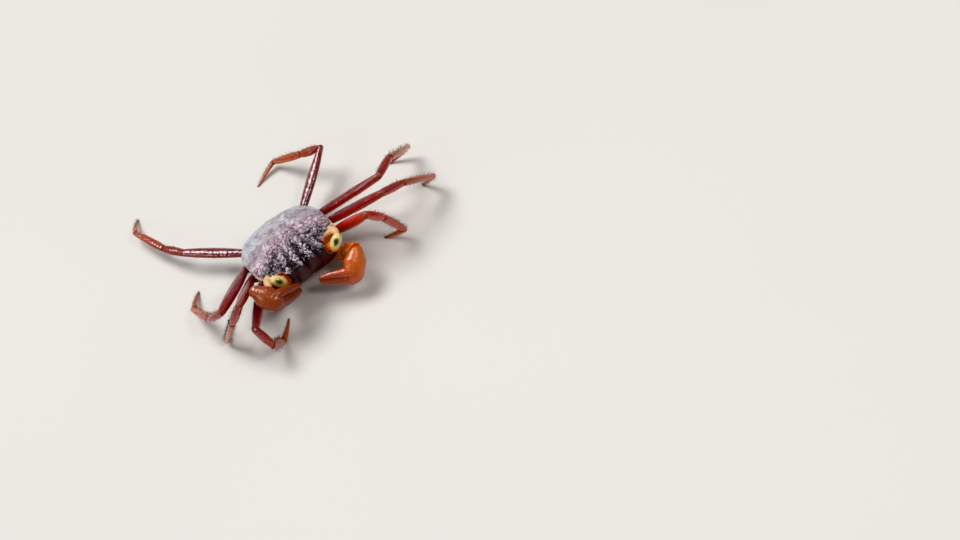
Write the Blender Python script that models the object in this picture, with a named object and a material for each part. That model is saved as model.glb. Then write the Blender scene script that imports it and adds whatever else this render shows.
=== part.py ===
"""Vampire crab, Geosesarma, as a still life-size model that stands on the floor.

The animal is modelled in millimetres. Its body frame has the head towards -Y, the left side
towards +X and the origin on top of the carapace. The floor frame has +Z up and the floor at
zero. Every finished piece is in metres, centred over the floor.
"""

from math import atan2, cos, degrees, exp, pi, radians, sin, sqrt

import bmesh
import bpy
from mathutils import Matrix, Vector

# Driving sizes, in millimetres unless the name says otherwise
METRE = 0.001
WELD = 0.002                 # points closer than this are one
SHARP_EDGE = radians(50)
WIDTH = 16.0                 # carapace, across its widest place
GAP = 0.3                    # between one piece and the next
RIDE_HEIGHT = 9.6            # top of the carapace above the floor
NOSE_UP = radians(10)        # how far the body leans back

# Lengths and breadths of the leg segments, as shares of the carapace width
MERUS = {1: 0.63, 2: 0.79, 3: 0.82, 4: 0.71}
CARPUS = {1: 0.24, 2: 0.28, 3: 0.29, 4: 0.26}
PROPODUS = {1: 0.41, 2: 0.50, 3: 0.52, 4: 0.46}
DACTYL = {1: 0.29, 2: 0.31, 3: 0.32, 4: 0.32}
STOUTNESS = {1: 1.02, 2: 1.0, 3: 1.0, 4: 0.88}

# Where each merus leaves its coxa, on the left side of the body frame
LEG_ROOT = {1: (8.1, -2.2, -5.4), 2: (8.2, 0.4, -5.1), 3: (7.9, 2.9, -4.8), 4: (6.2, 6.0, -4.5)}
COXA_INNER = {1: (4.6, -1.9, -6.4), 2: (4.6, 0.2, -6.4), 3: (4.4, 2.1, -6.1), 4: (3.4, 4.0, -5.6)}

# The pose: azimuth from straight ahead towards the left side, and elevation, both in degrees,
# of the merus, carpus and propodus in the floor frame; the dactyl slopes down to the floor
POSE = {
    ("left", 1): ((36, 43), (82, -52), (82, -69), -132),
    ("left", 2): ((53, 31), (92, -20), (102, -43), -149),
    ("left", 3): ((65, 25), (123, -12), (126, -44), -116),
    ("left", 4): ((125, 13), (-134, -22), (-141, -30), -75),
    ("right", 1): ((-35, 15), (10, -20), (140, -55), 136),
    ("right", 2): ((-34, 38), (-108, -59), (-146, -64), 146),
    ("right", 3): ((-47, 26), (-146, -46), (-176, -34), 145),
    ("right", 4): ((-135, 0), (-152, -10), (-165, -7), 153),
}

# Where the chelipeds' joints are, in the floor frame
CHELIPED = {
    "left": {
        "root": (4.8, -6.0, 4.2),
        "elbow": (6.4, -8.2, 5.3),
        "wrist": (8.1, -9.9, 6.9),
        "knuckle": (5.0, -12.3, 5.0),
        "tip": (0.1, -9.4, 5.4),
        "outer_face": (0.25, -0.66, 0.70),
    },
    "right": {
        "root": (-4.8, -6.0, 4.2),
        "elbow": (-8.2, -8.2, 7.1),
        "wrist": (-10.1, -7.0, 10.6),
        "knuckle": (-8.0, -10.1, 9.3),
        "tip": (-3.2, -9.8, 7.3),
        "outer_face": (-0.25, -0.62, 0.74),
    },
}

# The eyes, in the body frame: they stand up and outwards in their orbits
EYE = {"left": (5.9, -7.65, -2.1), "right": (-5.6, -7.3, -1.8)}
EYE_AXIS = {"left": (0.72, 0.10, 0.69), "right": (-0.58, 0.30, 0.76)}
EYE_RADII = (1.00, 1.00, 1.75)
EYE_SEAT = 0.85              # from the eye's centre to the end of its stalk
ORBIT_ROOM = 0.45
STALK_ROOT = {"left": (4.0, -6.2, -3.3), "right": (-4.0, -6.2, -3.3)}
STALK_RADIUS = 0.75
EYE_FACES = (16, 12)         # round it, and from pole to pole
ORBIT_FACES = (18, 12)
EYE_ROUGHNESS = 0.1

SIDES = {"left": 1, "right": -1}

# Corners round a leg or claw segment, a thin tip, and a palm
TUBE_SIDES = 12
TIP_SIDES = 10
PALM_SIDES = 16

# Colours are linear red, green and blue
BACK_COLOUR = (0.22, 0.17, 0.21)
BELLY_COLOUR = (0.24, 0.10, 0.09)
CLAW_COLOUR = (0.72, 0.17, 0.025)
STALK_COLOUR = (0.55, 0.22, 0.05)
EYE_COLOUR = (0.55, 0.45, 0.12)
MOUTH_COLOUR = (0.30, 0.08, 0.04)
FEELER_COLOUR = (0.10, 0.03, 0.03)
LEG_COLOUR = {
    "merus": (0.16, 0.012, 0.016),
    "carpus": (0.22, 0.022, 0.014),
    "propodus": (0.30, 0.045, 0.022),
    "dactyl": (0.40, 0.10, 0.04),
}


def tilt(point):
    """Body frame to floor frame."""
    turned = Matrix.Rotation(-NOSE_UP, 3, "X") @ Vector(point)
    return turned + Vector((0, 0, RIDE_HEIGHT))


def direction(azimuth, elevation):
    """Unit vector from an azimuth and elevation in degrees."""
    a = radians(azimuth)
    e = radians(elevation)
    return Vector((sin(a) * cos(e), -cos(a) * cos(e), sin(e)))


def smoothstep(low, high, value):
    t = min(1.0, max(0.0, (value - low) / (high - low)))
    return t * t * (3 - 2 * t)


def mix(a, b, t):
    return a + (b - a) * t


def curve_through(points, steps):
    """Points on a smooth curve through the given ones, with so many steps in each span."""
    points = [Vector(p) for p in points]
    ends = [points[0] * 2 - points[1]] + points + [points[-1] * 2 - points[-2]]
    result = []
    for i in range(1, len(ends) - 2):
        a, b, c, d = ends[i - 1:i + 3]
        for k in range(steps):
            t = k / steps
            result.append(0.5 * (2 * b + (c - a) * t + (2 * a - 5 * b + 4 * c - d) * t * t
                                 + (3 * b - a - 3 * c + d) * t ** 3))
    result.append(points[-1])
    return result


def profile(table, t):
    """Value at t of a table of (t, value) pairs, joined by straight lines."""
    for (t0, v0), (t1, v1) in zip(table, table[1:]):
        if t <= t1:
            return mix(v0, v1, (t - t0) / (t1 - t0))
    return table[-1][1]


def loft(rings, start_point=None, end_point=None):
    """Closed mesh through rings of points; an end is a flat cap, or runs to a point."""
    bm = bmesh.new()
    loops = [[bm.verts.new(p) for p in ring] for ring in rings]
    count = len(loops[0])
    for lower, upper in zip(loops, loops[1:]):
        for i in range(count):
            j = (i + 1) % count
            bm.faces.new((lower[i], lower[j], upper[j], upper[i]))
    for loop, point in ((loops[0], start_point), (loops[-1], end_point)):
        if point is None:
            bm.faces.new(loop)
            continue
        tip = bm.verts.new(point)
        for i in range(count):
            bm.faces.new((loop[i], loop[(i + 1) % count], tip))
    bmesh.ops.recalc_face_normals(bm, faces=bm.faces[:])
    return bm


def ring(centre, normal, up, half_up, half_across, sides, boxy=1.0):
    """Oval of points round a centre; boxy below one squares its shoulders."""
    normal = normal.normalized()
    across = normal.cross(up).normalized()
    above = across.cross(normal)
    points = []
    for i in range(sides):
        a = 2 * pi * (i + 0.5) / sides
        c = abs(cos(a)) ** boxy * (1 if cos(a) >= 0 else -1)
        s = abs(sin(a)) ** boxy * (1 if sin(a) >= 0 else -1)
        points.append(centre + above * half_up * c + across * half_across * s)
    return points


def limb(start, end, start_normal, end_normal, up, height, breadth, sides, rings, bow=0.0):
    """Bar from joint to joint, whose end faces lie square to the given normals.

    height and breadth are tables of half sizes along the bar, and bow lifts its middle.
    """
    start = Vector(start)
    end = Vector(end)
    along = (end - start).normalized()
    up = (up - along * up.dot(along)).normalized()
    loops = []
    for k in range(rings):
        t = k / (rings - 1)
        near_start = max(0.0, 1 - 2 * t)
        near_end = max(0.0, 2 * t - 1)
        normal = along + (start_normal - along) * near_start + (end_normal - along) * near_end
        centre = start.lerp(end, t) + up * bow * sin(pi * t)
        loops.append(ring(centre, normal, up, profile(height, t), profile(breadth, t), sides))
    return loft(loops)


def egg(centre, radii, axis, segments, rings):
    """Ellipsoid with its third radius along the axis."""
    bm = bmesh.new()
    bmesh.ops.create_uvsphere(bm, u_segments=segments, v_segments=rings, radius=1.0)
    turn = Vector((0, 0, 1)).rotation_difference(Vector(axis)).to_matrix().to_4x4()
    size = Matrix.Diagonal((*radii, 1.0))
    bm.transform(Matrix.Translation(centre) @ turn @ size)
    return bm


def to_floor_frame(bm):
    """Moves a mesh from the body frame into the floor frame."""
    for vertex in bm.verts:
        vertex.co = tilt(vertex.co)
    return bm


def cut_flat(bm, point, normal):
    """Takes away what lies beyond a plane and closes the cut."""
    cut = bmesh.ops.bisect_plane(bm, geom=bm.verts[:] + bm.edges[:] + bm.faces[:], dist=1e-5,
                                 plane_co=point, plane_no=normal, clear_outer=True)
    rim = [e for e in cut["geom_cut"] if isinstance(e, bmesh.types.BMEdge)]
    bmesh.ops.contextual_create(bm, geom=rim)
    bmesh.ops.recalc_face_normals(bm, faces=bm.faces[:])
    return bm


def material(name, colour, roughness):
    made = bpy.data.materials.new(name)
    made.use_nodes = True
    shader = made.node_tree.nodes["Principled BSDF"]
    shader.inputs["Base Color"].default_value = (*colour, 1.0)
    shader.inputs["Roughness"].default_value = roughness
    shader.inputs["Metallic"].default_value = 0.0
    made.diffuse_color = (*colour, 1.0)
    return made


def piece(name, bm, colour=None, roughness=0.4):
    """Object from a mesh that is still in millimetres."""
    bmesh.ops.triangulate(bm, faces=[f for f in bm.faces if len(f.verts) > 4])
    mesh = bpy.data.meshes.new(name)
    bm.to_mesh(mesh)
    bm.free()
    made = bpy.data.objects.new(name, mesh)
    bpy.context.scene.collection.objects.link(made)
    if colour:
        mesh.materials.append(material(name + "_shell", colour, roughness))
    return made


def largest_body(bm):
    """Keeps only the largest closed surface of a mesh."""
    left = set(bm.verts)
    bodies = []
    while left:
        seed = left.pop()
        body = {seed}
        stack = [seed]
        while stack:
            vertex = stack.pop()
            for edge in vertex.link_edges:
                other = edge.other_vert(vertex)
                if other not in body:
                    body.add(other)
                    stack.append(other)
        left -= body
        bodies.append(body)
    bodies.sort(key=len)
    for body in bodies[:-1]:
        bmesh.ops.delete(bm, geom=list(body), context="VERTS")


def combine(base, added=(), removed=()):
    """Joins pieces to the base, then cuts others out of it, and clears them all away."""
    for operation, others in (("UNION", added), ("DIFFERENCE", removed)):
        for other in others:
            other.hide_render = True
            other.display_type = "WIRE"
            step = base.modifiers.new(operation, "BOOLEAN")
            step.operation = operation
            step.solver = "EXACT"
            step.object = other
    bpy.context.view_layer.update()
    graph = bpy.context.evaluated_depsgraph_get()
    result = bpy.data.meshes.new_from_object(base.evaluated_get(graph))
    base.modifiers.clear()
    bm = bmesh.new()
    bm.from_mesh(result)
    bmesh.ops.remove_doubles(bm, verts=bm.verts[:], dist=WELD)
    bmesh.ops.dissolve_degenerate(bm, edges=bm.edges[:], dist=WELD)
    largest_body(bm)
    bmesh.ops.triangulate(bm, faces=bm.faces[:])
    bm.to_mesh(base.data)
    bm.free()
    bpy.data.meshes.remove(result)
    for other in (*added, *removed):
        bpy.data.objects.remove(other)
    return base


# The carapace: its margin on the left side, from the front round to the back, as x, y, z
MARGIN = [
    (0.0, -7.00, -1.75),     # middle of the front
    (2.1, -7.25, -1.80),
    (4.1, -7.10, -2.00),     # corner of the front
    (5.0, -6.45, -2.05),
    (6.3, -5.75, -1.95),     # upper edge of the orbit
    (7.45, -5.15, -1.90),    # exorbital tooth
    (7.45, -4.35, -2.15),
    (7.85, -3.60, -2.25),    # blunt second tooth
    (8.0, 0.40, -2.75),
    (7.65, 3.20, -3.05),
    (6.5, 5.60, -3.25),
    (4.7, 6.85, -3.25),      # hind corner
    (2.5, 7.25, -3.05),
    (0.0, 7.35, -2.95),
]
MARGIN_STEPS = 3
DOME = [0.16, 0.32, 0.48, 0.62, 0.74, 0.84, 0.92, 0.97, 1.0]
DOME_POWER = 2.3
AXIS_Y = 0.4                 # the body's upright middle line, about which the walls draw in

# The walls under the margin, as share of the margin's distance from the axis, and height
WALL_FRONT = [(1.03, -2.5), (1.07, -3.6), (1.08, -4.7), (1.01, -4.95), (0.90, -5.3), (0.80, -6.4),
              (0.62, -7.5), (0.35, -8.1)]
WALL_SIDE = [(0.995, -3.1), (0.985, -3.6), (0.96, -4.3), (0.92, -5.0), (0.86, -5.7), (0.76, -6.5),
             (0.60, -7.4), (0.34, -8.0)]
WALL_REAR = [(0.99, -3.5), (0.97, -4.0), (0.95, -4.5), (0.92, -5.1), (0.86, -5.8), (0.76, -6.5),
             (0.60, -7.3), (0.34, -7.9)]
BELLY = -8.15
BACK_ROUGHNESS = 0.55


def bump(x, y, at_x, at_y, across, along):
    return exp(-((x - at_x) / across) ** 2 - ((y - at_y) / along) ** 2)


def groove(x, y, route, breadth):
    """One on a route of points, falling to nothing within about its breadth."""
    nearest = 1e9
    here = Vector((x, y))
    for a, b in zip(route, route[1:]):
        a = Vector(a)
        b = Vector(b)
        t = min(1.0, max(0.0, (here - a).dot(b - a) / (b - a).length_squared))
        nearest = min(nearest, (here - a.lerp(b, t)).length)
    return exp(-(nearest / breadth) ** 2)


FURROW = [(0.0, -7.4), (0.0, -3.6)]
NECK_GROOVE = [(4.9, -4.4), (3.3, -2.9), (2.5, -1.4), (2.3, 0.2), (1.2, 1.0)]
HEART_GROOVE = [(2.3, 0.2), (1.9, 2.2), (1.2, 3.6)]


def relief(x, y):
    """Lobes and grooves of the back, as a height in millimetres."""
    x = abs(x)
    height = 0.42 * bump(x, y, 1.35, -6.3, 1.0, 0.75)       # inner lobe behind the front
    height += 0.34 * bump(x, y, 3.45, -6.1, 0.9, 0.65)      # outer lobe behind the front
    height += 0.30 * bump(x, y, 0.9, -3.6, 1.1, 1.4)        # stomach region
    height += 0.22 * bump(x, y, 0.0, 1.9, 1.3, 1.0)         # heart region
    height += 0.25 * bump(x, y, 5.4, -1.2, 1.5, 1.9)        # gill region
    height -= 0.50 * groove(x, y, FURROW, 0.45)
    height -= 0.38 * groove(x, y, NECK_GROOVE, 0.50)
    height -= 0.28 * groove(x, y, HEART_GROOVE, 0.55)
    return height


def margin_points():
    left = curve_through(MARGIN, MARGIN_STEPS)
    right = [Vector((-p.x, p.y, p.z)) for p in reversed(left[1:-1])]
    return left + right


def wall_at(point, level):
    """A point of the wall under a margin point."""
    front = 1 - smoothstep(-6.5, -5.1, point.y)
    rear = smoothstep(4.5, 6.5, point.y)
    share = (front * WALL_FRONT[level][0] + rear * WALL_REAR[level][0]
             + (1 - front - rear) * WALL_SIDE[level][0])
    height = (front * WALL_FRONT[level][1] + rear * WALL_REAR[level][1]
              + (1 - front - rear) * WALL_SIDE[level][1])
    return Vector((point.x * share, AXIS_Y + (point.y - AXIS_Y) * share, height))


def body_shell():
    """Carapace and breastplate in one closed surface."""
    margin = margin_points()
    rings = []
    for share in DOME:
        loop = []
        for point in margin:
            x = point.x * share
            y = AXIS_Y + (point.y - AXIS_Y) * share
            fade = 1 - smoothstep(0.97, 1.0, share) * 0.5
            loop.append(Vector((x, y, point.z * share ** DOME_POWER + relief(x, y) * fade)))
        rings.append(loop)
    for level in range(len(WALL_SIDE)):
        rings.append([wall_at(point, level) for point in margin])
    top = Vector((0, AXIS_Y, relief(0, AXIS_Y)))
    return loft(rings, top, Vector((0, AXIS_Y, BELLY)))


def leg_name(side, number, segment):
    return f"leg_{side}_{number}_{segment}"


def mirrored(point, side):
    return Vector((point[0] * SIDES[side], point[1], point[2]))


def leg_joints(side, number):
    """Root, knee, carpus end, ankle and tip of a leg in the floor frame."""
    lengths = [table[number] * WIDTH for table in (MERUS, CARPUS, PROPODUS)]
    joints = [tilt(mirrored(LEG_ROOT[number], side))]
    turns = POSE[side, number]
    for (azimuth, elevation), length in zip(turns[:3], lengths):
        joints.append(joints[-1] + direction(azimuth, elevation) * length)
    claw = DACTYL[number] * WIDTH
    slope = degrees(atan2(joints[-1].z, sqrt(claw ** 2 - joints[-1].z ** 2)))
    joints.append(joints[-1] + direction(turns[3], -slope) * claw)
    return joints


# Half heights and half breadths along each leg segment, in millimetres
KNEE = (0.88, 0.72)
ANKLE = (0.62, 0.48)
HIP = (0.85, 0.75)
MERUS_HEIGHT = [(0, HIP[0]), (0.18, 1.06), (0.45, 1.26), (0.8, 1.12), (1, KNEE[0])]
MERUS_BREADTH = [(0, HIP[1]), (0.2, 0.86), (0.7, 0.88), (1, KNEE[1])]
CARPUS_HEIGHT = [(0, KNEE[0]), (0.5, 1.02), (0.8, 0.98), (1, 0.80)]
CARPUS_BREADTH = [(0, KNEE[1]), (0.6, 0.80), (1, 0.66)]
PROPODUS_HEIGHT = [(0, 0.80), (0.3, 0.95), (0.7, 0.84), (1, ANKLE[0])]
PROPODUS_BREADTH = [(0, 0.64), (0.4, 0.66), (1, ANKLE[1])]
DACTYL_HEIGHT = [(0, ANKLE[0]), (0.25, 0.54), (0.7, 0.36), (1, 0.20)]
DACTYL_BREADTH = [(0, ANKLE[1]), (0.3, 0.42), (0.7, 0.30), (1, 0.18)]
SEGMENTS = {
    # name: half heights, half breadths, rings, corners
    "merus": (MERUS_HEIGHT, MERUS_BREADTH, 8, TUBE_SIDES),
    "carpus": (CARPUS_HEIGHT, CARPUS_BREADTH, 6, TUBE_SIDES),
    "propodus": (PROPODUS_HEIGHT, PROPODUS_BREADTH, 7, TUBE_SIDES),
    "dactyl": (DACTYL_HEIGHT, DACTYL_BREADTH, 8, TIP_SIDES),
}
DACTYL_BOW = -0.04           # how far its middle sags, as a share of its length
FOOT_RUN = 0.5               # drawn on under the floor, where the foot is then cut flat
COXA_HEIGHT = [(0, 1.1), (0.6, 1.1), (1, 1.05 * HIP[0])]
COXA_BREADTH = [(0, 1.0), (0.6, 0.95), (1, 1.05 * HIP[1])]
COXA_RINGS = 5


def scaled(table, factor):
    return [(t, value * factor) for t, value in table]


def leg(side, number):
    """The four segments of a leg, each square to its neighbour at the joint between them."""
    joints = leg_joints(side, number)
    ways = [(b - a).normalized() for a, b in zip(joints, joints[1:])]
    coxa_way = (joints[0] - tilt(mirrored(COXA_INNER[number], side))).normalized()
    bisectors = [(a + b).normalized() for a, b in zip([coxa_way] + ways, ways)]
    bisectors.append(ways[-1])
    bend = ways[0].cross(ways[2]).normalized()
    stout = STOUTNESS[number]
    for index, segment in enumerate(SEGMENTS):
        height, breadth, rings, sides = SEGMENTS[segment]
        start = joints[index] + bisectors[index] * GAP / 2
        end = joints[index + 1] - bisectors[index + 1] * GAP / 2
        up = bend.cross(ways[index])
        bow = 0.0
        if segment == "dactyl":
            bow = DACTYL_BOW * WIDTH * DACTYL[number]
            end = joints[index + 1] + ways[index] * FOOT_RUN
        shape = limb(start, end, bisectors[index], bisectors[index + 1], up, scaled(height, stout),
                     scaled(breadth, stout), sides, rings, bow)
        if segment == "dactyl":
            cut_flat(shape, Vector((0, 0, 0)), Vector((0, 0, -1)))
        piece(leg_name(side, number, segment), shape, LEG_COLOUR[segment])
    inner = tilt(mirrored(COXA_INNER[number], side))
    outer = joints[0] - bisectors[0] * GAP / 2
    return piece("coxa", limb(inner, outer, coxa_way, bisectors[0], bend.cross(coxa_way),
                              scaled(COXA_HEIGHT, stout), scaled(COXA_BREADTH, stout), TUBE_SIDES,
                              COXA_RINGS))


CLAW_INNER = (3.2, -4.0, -6.0)
CLAW_ROOT = 1.05

# Half heights and half breadths along each piece of a claw
CLAW_MERUS = ([(0, CLAW_ROOT), (0.6, 1.3), (1, 1.15)], [(0, CLAW_ROOT), (0.6, 1.2), (1, 1.0)])
CLAW_CARPUS = ([(0, 1.15), (0.5, 1.45), (1, 1.05)], [(0, 1.0), (0.5, 1.35), (1, 0.95)])
CLAW_COXA = ([(0, 1.2), (1, CLAW_ROOT)], [(0, 1.2), (1, CLAW_ROOT)])
HAND = ([(0, 1.05), (0.2, 2.05), (0.4, 1.80), (0.6, 1.04), (0.8, 0.80), (0.93, 0.54), (1, 0.30)],
        [(0, 0.95), (0.2, 1.50), (0.4, 1.32), (0.6, 0.90), (0.8, 0.68), (0.93, 0.48), (1, 0.28)])
HAND_STEPS = 3
CLAW_RINGS = 7
FINGER_RINGS = 8
FINGER = ([(0, 0.80), (0.3, 0.74), (0.7, 0.60), (0.9, 0.42), (1, 0.26)],
          [(0, 0.76), (0.3, 0.72), (0.7, 0.52), (0.9, 0.38), (1, 0.25)])
FINGER_ROOM = ([(0, 1.08), (1, 1.08)], [(0, 1.92), (1, 1.9)])
KNUCKLE_SPREAD = 0.93        # the fingers' middle lines from the claw's own, at the knuckle
TIP_SPREAD = 0.46            # and at the tip
PALM_SAG = 0.25              # how far the palm's middle line bows outwards
HEEL_SAG = 0.50              # and where it turns into the fixed finger
FINGER_BOW = 0.20
FREE_ROOT_START = 0.2
ROOM_LENGTH = 2.2
ROOM_BOW = 0.1
CLAW_GAP = 0.32              # sideways round a bent joint
SHARPEST = radians(45)       # how far the end of a piece may lean


def eased(normal, way):
    """The normal of a joint, turned towards a piece's own way where the joint bends sharply."""
    angle = way.angle(normal)
    return normal if angle < SHARPEST else way.slerp(normal, SHARPEST / angle)


def claw_segment(ends, normals, up, tables):
    """Merus or carpus of a claw, and the room that it needs in its neighbour."""
    start, end = ends
    first, last = normals
    made = limb(start + first * GAP / 2, end - last * GAP / 2, first, last, up, *tables,
                TUBE_SIDES, CLAW_RINGS)
    made.normal_update()
    room = made.copy()
    for vertex in room.verts:
        vertex.co += vertex.normal * CLAW_GAP
    return made, room


def cheliped(side):
    """Merus, carpus, palm with its fixed finger, and movable finger of one claw."""
    root, elbow, wrist, knuckle, tip = [
        Vector(CHELIPED[side][name]) for name in ("root", "elbow", "wrist", "knuckle", "tip")]
    inner = tilt(mirrored(CLAW_INNER, side))
    stations = [inner, root, elbow, wrist, knuckle, tip]
    ways = [(b - a).normalized() for a, b in zip(stations, stations[1:])]
    at_root, at_elbow, at_wrist, at_knuckle = [
        (a + b).normalized() for a, b in zip(ways, ways[1:])]
    face = Vector(CHELIPED[side]["outer_face"]).normalized()
    outer_edge = face.cross(ways[1])

    merus, socket = claw_segment((root, elbow), (at_root, at_elbow), outer_edge, CLAW_MERUS)
    piece(f"claw_{side}_merus", merus, CLAW_COLOUR)
    carpus, carpus_room = claw_segment((elbow, wrist), (at_elbow, eased(at_wrist, ways[2])),
                                       face.cross(ways[2]), CLAW_CARPUS)
    piece(f"claw_{side}_carpus", carpus, CLAW_COLOUR)

    # The palm runs on into its fixed finger; the movable one is on the side towards the head
    palm_way = ways[3]
    finger_way = ways[4]
    hand = 1 if face.cross(palm_way).y > 0 else -1
    upper = face.cross(palm_way).normalized() * hand
    finger_upper = (upper - finger_way * upper.dot(finger_way)).normalized()
    first = knuckle - finger_upper * KNUCKLE_SPREAD + finger_way
    last = tip - finger_upper * TIP_SPREAD
    route = [wrist + at_wrist * GAP / 2, wrist.lerp(knuckle, 0.5) - upper * PALM_SAG,
             knuckle - finger_upper * HEEL_SAG, first,
             first.lerp(last, 0.5) - finger_upper * FINGER_BOW, last]
    line = curve_through(route, HAND_STEPS)
    loops = []
    for k, centre in enumerate(line):
        t = k / (len(line) - 1)
        along = line[min(k + 1, len(line) - 1)] - line[max(k - 1, 0)]
        normal = eased(at_wrist, palm_way) if k == 0 else along
        loops.append(ring(centre, normal, face.cross(along) * hand, profile(HAND[0], t),
                          profile(HAND[1], t), PALM_SIDES))
    free_root = knuckle + finger_upper * KNUCKLE_SPREAD + finger_way * FREE_ROOT_START
    free = limb(free_root, tip + finger_upper * TIP_SPREAD, finger_way, finger_way,
                finger_upper, *FINGER, TUBE_SIDES, FINGER_RINGS, FINGER_BOW)
    free_room = limb(free_root - finger_way * GAP, free_root + finger_way * ROOM_LENGTH,
                     finger_way, finger_way, finger_upper, *FINGER_ROOM, TUBE_SIDES, 3, ROOM_BOW)
    combine(piece(f"claw_{side}_palm", loft(loops), CLAW_COLOUR), [],
            [piece("finger_room", free_room), piece("carpus_room", carpus_room)])
    piece(f"claw_{side}_finger", free, CLAW_COLOUR)

    coxa = limb(inner, root - at_root * GAP / 2, ways[0], at_root, outer_edge, *CLAW_COXA,
                TUBE_SIDES, 4)
    return into_body_frame(piece("claw_coxa", coxa)), into_body_frame(piece("socket", socket))


TOOTH_ROOT = (6.6, -4.0, -2.05)
TOOTH_TIP = (7.5, -6.35, -1.95)
TOOTH_SHIFT = {"left": Vector((-0.2, 0.55, 0.05)), "right": Vector((0, 0, 0))}
TOOTH_HEIGHT = [(0, 0.45), (0.6, 0.55), (1, 0.34)]
TOOTH_BREADTH = [(0, 0.75), (0.6, 0.68), (1, 0.42)]


def orbit_tooth(side):
    """Outer tooth of the orbit, which points forwards beside the eye."""
    root = mirrored(Vector(TOOTH_ROOT) + TOOTH_SHIFT[side], side)
    tip = mirrored(Vector(TOOTH_TIP) + TOOTH_SHIFT[side], side)
    way = (tip - root).normalized()
    return piece("tooth", limb(root, tip, way, way, Vector((0, 0, 1)), TOOTH_HEIGHT,
                               TOOTH_BREADTH, TIP_SIDES, 5))


def eye(side):
    """Stalk and eye, and the room that they take out of the shell."""
    centre = Vector(EYE[side])
    root = Vector(STALK_ROOT[side])
    axis = EYE_AXIS[side]
    way = (centre - root).normalized()
    meeting = centre - way * EYE_SEAT
    up = Vector((0, 0, 1))
    girth = [(0, STALK_RADIUS), (1, STALK_RADIUS)]
    stalk = limb(root, meeting - way * GAP / 2, way, way, up, girth, girth, TUBE_SIDES, 4)
    piece(f"eyestalk_{side}", to_floor_frame(stalk), STALK_COLOUR)
    ball = egg(centre, EYE_RADII, axis, *EYE_FACES)
    cut_flat(ball, meeting + way * GAP / 2, -way)
    piece(f"eye_{side}", to_floor_frame(ball), EYE_COLOUR, EYE_ROUGHNESS)
    wide = [(0, STALK_RADIUS + GAP), (1, STALK_RADIUS + GAP)]
    channel = limb(root - way * GAP, meeting, way, way, up, wide, wide, TUBE_SIDES, 2)
    orbit = egg(centre, [r + ORBIT_ROOM for r in EYE_RADII], axis, *ORBIT_FACES)
    return [piece("stalk_channel", channel), piece("orbit", orbit)]


MAXILLIPED_PATH = [(1.55, -6.05, -5.0), (1.50, -5.75, -6.0), (1.35, -5.15, -6.9), (1.1, -4.3, -7.6)]
MAXILLIPED_HALF_WIDTH = [(0, 1.15), (0.4, 1.25), (0.8, 0.95), (1, 0.55)]
MAXILLIPED_HALF_DEPTH = [(0, 0.35), (0.5, 0.50), (1, 0.35)]
MAXILLIPED_SIDES = 14
PLATE_STEPS = 3
NOTCH_DEPTH = 0.16           # of the joints between the abdomen's rings, as a share
SQUARENESS = 0.7             # of a plate's section


def plate(route, half_width, half_depth, spread, sides, steps, notches=0):
    """Flat plate along a route in the body frame, widened all round by spread."""
    line = curve_through(route, steps)
    loops = []
    for k, centre in enumerate(line):
        before = line[max(0, k - 1)]
        after = line[min(len(line) - 1, k + 1)]
        t = k / (len(line) - 1)
        notch = NOTCH_DEPTH * (1 - cos(2 * pi * notches * t)) / 2
        deep = profile(half_depth, t) * (1 - notch)
        along = after - before
        up = Vector((1, 0, 0)).cross(along)
        loops.append(ring(centre, along, up, deep + spread, profile(half_width, t) + spread,
                          sides, SQUARENESS))
    reach = (line[0] - line[1]).normalized() * spread
    loops[0] = [p + reach for p in loops[0]]
    reach = (line[-1] - line[-2]).normalized() * spread
    loops[-1] = [p + reach for p in loops[-1]]
    return loft(loops)


def maxilliped(side):
    route = [mirrored(p, side) for p in MAXILLIPED_PATH]
    tables = (route, MAXILLIPED_HALF_WIDTH, MAXILLIPED_HALF_DEPTH)
    shape = plate(*tables, 0.0, MAXILLIPED_SIDES, PLATE_STEPS)
    piece(f"maxilliped_{side}", to_floor_frame(shape), MOUTH_COLOUR)
    return piece("mouth_frame", plate(*tables, GAP, MAXILLIPED_SIDES, PLATE_STEPS))


ABDOMEN_ROUTE = [(0, 7.15, -3.7), (0, 7.2, -4.7), (0, 6.65, -5.9), (0, 5.5, -7.0), (0, 3.7, -7.8),
                 (0, 1.2, -8.2), (0, -1.2, -8.1), (0, -2.7, -7.9)]
ABDOMEN_HALF_WIDTH = [(0, 2.6), (0.25, 2.7), (0.6, 1.9), (0.9, 1.0), (1, 0.6)]
ABDOMEN_HALF_DEPTH = [(0, 0.42), (0.8, 0.42), (1, 0.3)]
ABDOMEN_RINGS = 7


def abdomen():
    tables = (ABDOMEN_ROUTE, ABDOMEN_HALF_WIDTH, ABDOMEN_HALF_DEPTH)
    shape = plate(*tables, 0.0, TUBE_SIDES, PLATE_STEPS, ABDOMEN_RINGS)
    piece("abdomen", to_floor_frame(shape), BELLY_COLOUR)
    return piece("abdomen_room", plate(*tables, GAP, TUBE_SIDES, 2))


ANTENNA = [(2.7, -6.5, -4.3), (2.6, -8.0, -4.15), (2.5, -8.45, -3.6), (2.35, -8.7, -2.8)]
ANTENNA_RADIUS = (0.28, 0.12)
KNOB = [(0, 0.5), (1, 0.36)]
FEELER_STEPS = 3
FEELER_SIDES = 8


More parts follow.
